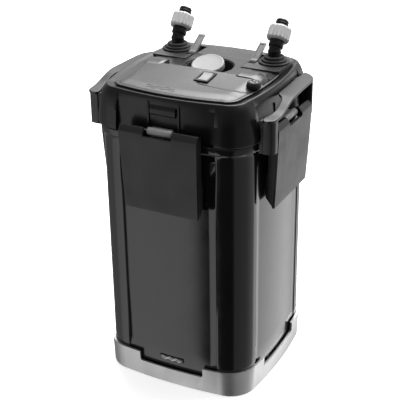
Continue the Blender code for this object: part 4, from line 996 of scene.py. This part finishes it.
# ------------------------------------------------------------------ floor, light, camera
scene = bpy.context.scene
floor_mat = Nodes("pale_studio_floor")
floor_mat.link(floor_mat.mix(floor_mat.ramp(floor_mat.noise(3.0), 0.3, 0.7, 0.0, 1.0), (0.86, 0.86, 0.86), (0.88, 0.88, 0.88)), floor_mat.shader.inputs["Base Color"])
floor_mat.shader.inputs["Roughness"].default_value = 0.7
floor_mat.shader.inputs["Emission Color"].default_value = (1.0, 1.0, 1.0, 1.0)
floor_mat.shader.inputs["Emission Strength"].default_value = 0.62
floor_mat.shader.inputs["Specular IOR Level"].default_value = 0.2
mesh = bpy.data.meshes.new("floor")
mesh.from_pydata([(-7, -7, 0), (7, -7, 0), (7, 9, 0), (-7, 9, 0)], [], [(0, 1, 2, 3)])
floor = bpy.data.objects.new("floor", mesh)
scene.collection.objects.link(floor)
mesh.materials.append(floor_mat.m)
floor.visible_glossy = False
floor.visible_diffuse = False

world = bpy.data.worlds.new("studio")
scene.world = world
world.use_nodes = True
wt = world.node_tree
wt.nodes.clear()


def wn(kind, **ins):
    n = wt.nodes.new(kind)
    return n


direction = wn("ShaderNodeTexCoord").outputs["Generated"]
sep = wn("ShaderNodeSeparateXYZ")
wt.links.new(direction, sep.inputs[0])


def wmath(op, a, b=None):
    n = wn("ShaderNodeMath")
    n.operation = op
    for k, v in enumerate((a, b)):
        if v is None:
            continue
        if isinstance(v, (int, float)):
            n.inputs[k].default_value = v
        else:
            wt.links.new(v, n.inputs[k])
    return n.outputs[0]


def wramp(value, stops, top):
    """A ramp over 0..1 from (place, brightness) stops."""
    n = wn("ShaderNodeValToRGB")
    n.color_ramp.interpolation = "EASE"
    wt.links.new(value, n.inputs[0])
    el = n.color_ramp.elements
    while len(el) > 1:
        el.remove(el[-1])
    for i, (p, v) in enumerate(stops):
        e = el[0] if i == 0 else el.new(p)
        e.position = p
        e.color = (v / top, v / top, v / top, 1.0)
    return wmath("MULTIPLY", n.outputs[0], top)


azimuth = wmath("MULTIPLY", wmath("ARCTAN2", sep.outputs[0], wmath("MULTIPLY", sep.outputs[1], -1.0)), 1.0 / (2 * math.pi))
turn = wmath("ADD", azimuth, 0.5)                 # 0.5 is the front, 0.75 the right, 0 and 1 the back
elevation = wmath("ARCSINE", sep.outputs[2])
A = lambda deg: (deg + 180.0) / 360.0
low = wramp(turn, [(A(-180), 0.5), (A(-150), 0.32), (A(-110), 0.2), (A(-75), 0.45), (A(-52), 1.15), (A(-36), 1.45), (A(-22), 1.5), (A(-17.5), 0.1), (A(-15), 0.05), (A(32), 0.04), (A(40), 0.1), (A(44), 0.36), (A(90), 0.42), (A(123), 0.66), (A(136), 0.8), (A(141), 1.75), (A(162), 2.0), (A(172), 0.9)], 3.0)
floor_glow = wramp(turn, [(A(-180), 1.2), (A(-150), 0.9), (A(-100), 0.35), (A(-30), 0.35), (A(30), 0.25), (A(90), 0.3), (A(130), 0.5), (A(155), 0.9)], 3.0)
band = wn("ShaderNodeMapRange")
band.interpolation_type = "SMOOTHSTEP"
wt.links.new(elevation, band.inputs["Value"])
band.inputs["From Min"].default_value = math.radians(27)
band.inputs["From Max"].default_value = math.radians(42)
overhead = wramp(turn, [(A(-180), 9.5), (A(-160), 9.5), (A(-148), 8.5), (A(-138), 4.0), (A(-127), 0.7), (A(-80), 0.3), (A(-20), 0.3), (A(60), 0.4), (A(110), 1.6), (A(145), 6.0), (A(165), 9.5)], 12.0)
high = wmath("ADD", wmath("MULTIPLY", floor_glow, wmath("SUBTRACT", 1.0, band.outputs[0])), wmath("MULTIPLY", overhead, band.outputs[0]))
lift = wn("ShaderNodeMapRange")
lift.interpolation_type = "SMOOTHSTEP"
wt.links.new(elevation, lift.inputs["Value"])
lift.inputs["From Min"].default_value = math.radians(-8)
lift.inputs["From Max"].default_value = math.radians(8)
level = wmath("ADD", wmath("MULTIPLY", low, wmath("SUBTRACT", 1.0, lift.outputs[0])), wmath("MULTIPLY", high, lift.outputs[0]))
path_node = wn("ShaderNodeLightPath")
camera_share = path_node.outputs["Is Camera Ray"]
strength = wmath("ADD", wmath("MULTIPLY", camera_share, 1.02), wmath("MULTIPLY", wmath("SUBTRACT", 1.0, camera_share), level))
bg = wn("ShaderNodeBackground")
bg.inputs["Color"].default_value = (1.0, 1.0, 1.0, 1.0)
wt.links.new(strength, bg.inputs["Strength"])
wo = wn("ShaderNodeOutputWorld")
wt.links.new(bg.outputs[0], wo.inputs["Surface"])


def area(name, where, target, size, power, size_y=None, glossy=False):
    data = bpy.data.lights.new(name, "AREA")
    data.energy = power
    data.size = size
    if size_y:
        data.shape = "RECTANGLE"
        data.size_y = size_y
    obj = bpy.data.objects.new(name, data)
    obj.location = where
    obj.rotation_euler = (Vector(target) - Vector(where)).to_track_quat("-Z", "Y").to_euler()
    obj.visible_camera = False
    obj.visible_glossy = glossy
    scene.collection.objects.link(obj)
    return obj


area("overhead_softbox", (-0.15, 0.2, 1.6), (0.0, 0.0, 0.4), 0.9, 3.0)
area("front_left_fill", (-1.3, -1.1, 0.9), (0.0, 0.0, 0.25), 1.0, 2.5)

el, az, roll, f_px = math.radians(25.8904), math.radians(27.5760), math.radians(-0.88636), 1055.603
back = Vector((math.sin(az) * math.cos(el), -math.cos(az) * math.cos(el), math.sin(el)))
xc = Vector((math.cos(az), math.sin(az), 0.0))
yc = back.cross(xc)
c, s = math.cos(roll), math.sin(roll)
xr, yr = c * xc + s * yc, -s * xc + c * yc
cam_data = bpy.data.cameras.new("photo_camera")
cam_data.sensor_width = 36.0
cam_data.lens = 36.0 * f_px / 400.0
cam = bpy.data.objects.new("photo_camera", cam_data)
cam.matrix_world = Matrix(((xr.x, yr.x, back.x, 0.63136632), (xr.y, yr.y, back.y, -1.2274833), (xr.z, yr.z, back.z, 0.91672416), (0, 0, 0, 1)))
scene.collection.objects.link(cam)
scene.camera = cam
scene.view_settings.view_transform = "Standard"
scene.view_settings.look = "None"
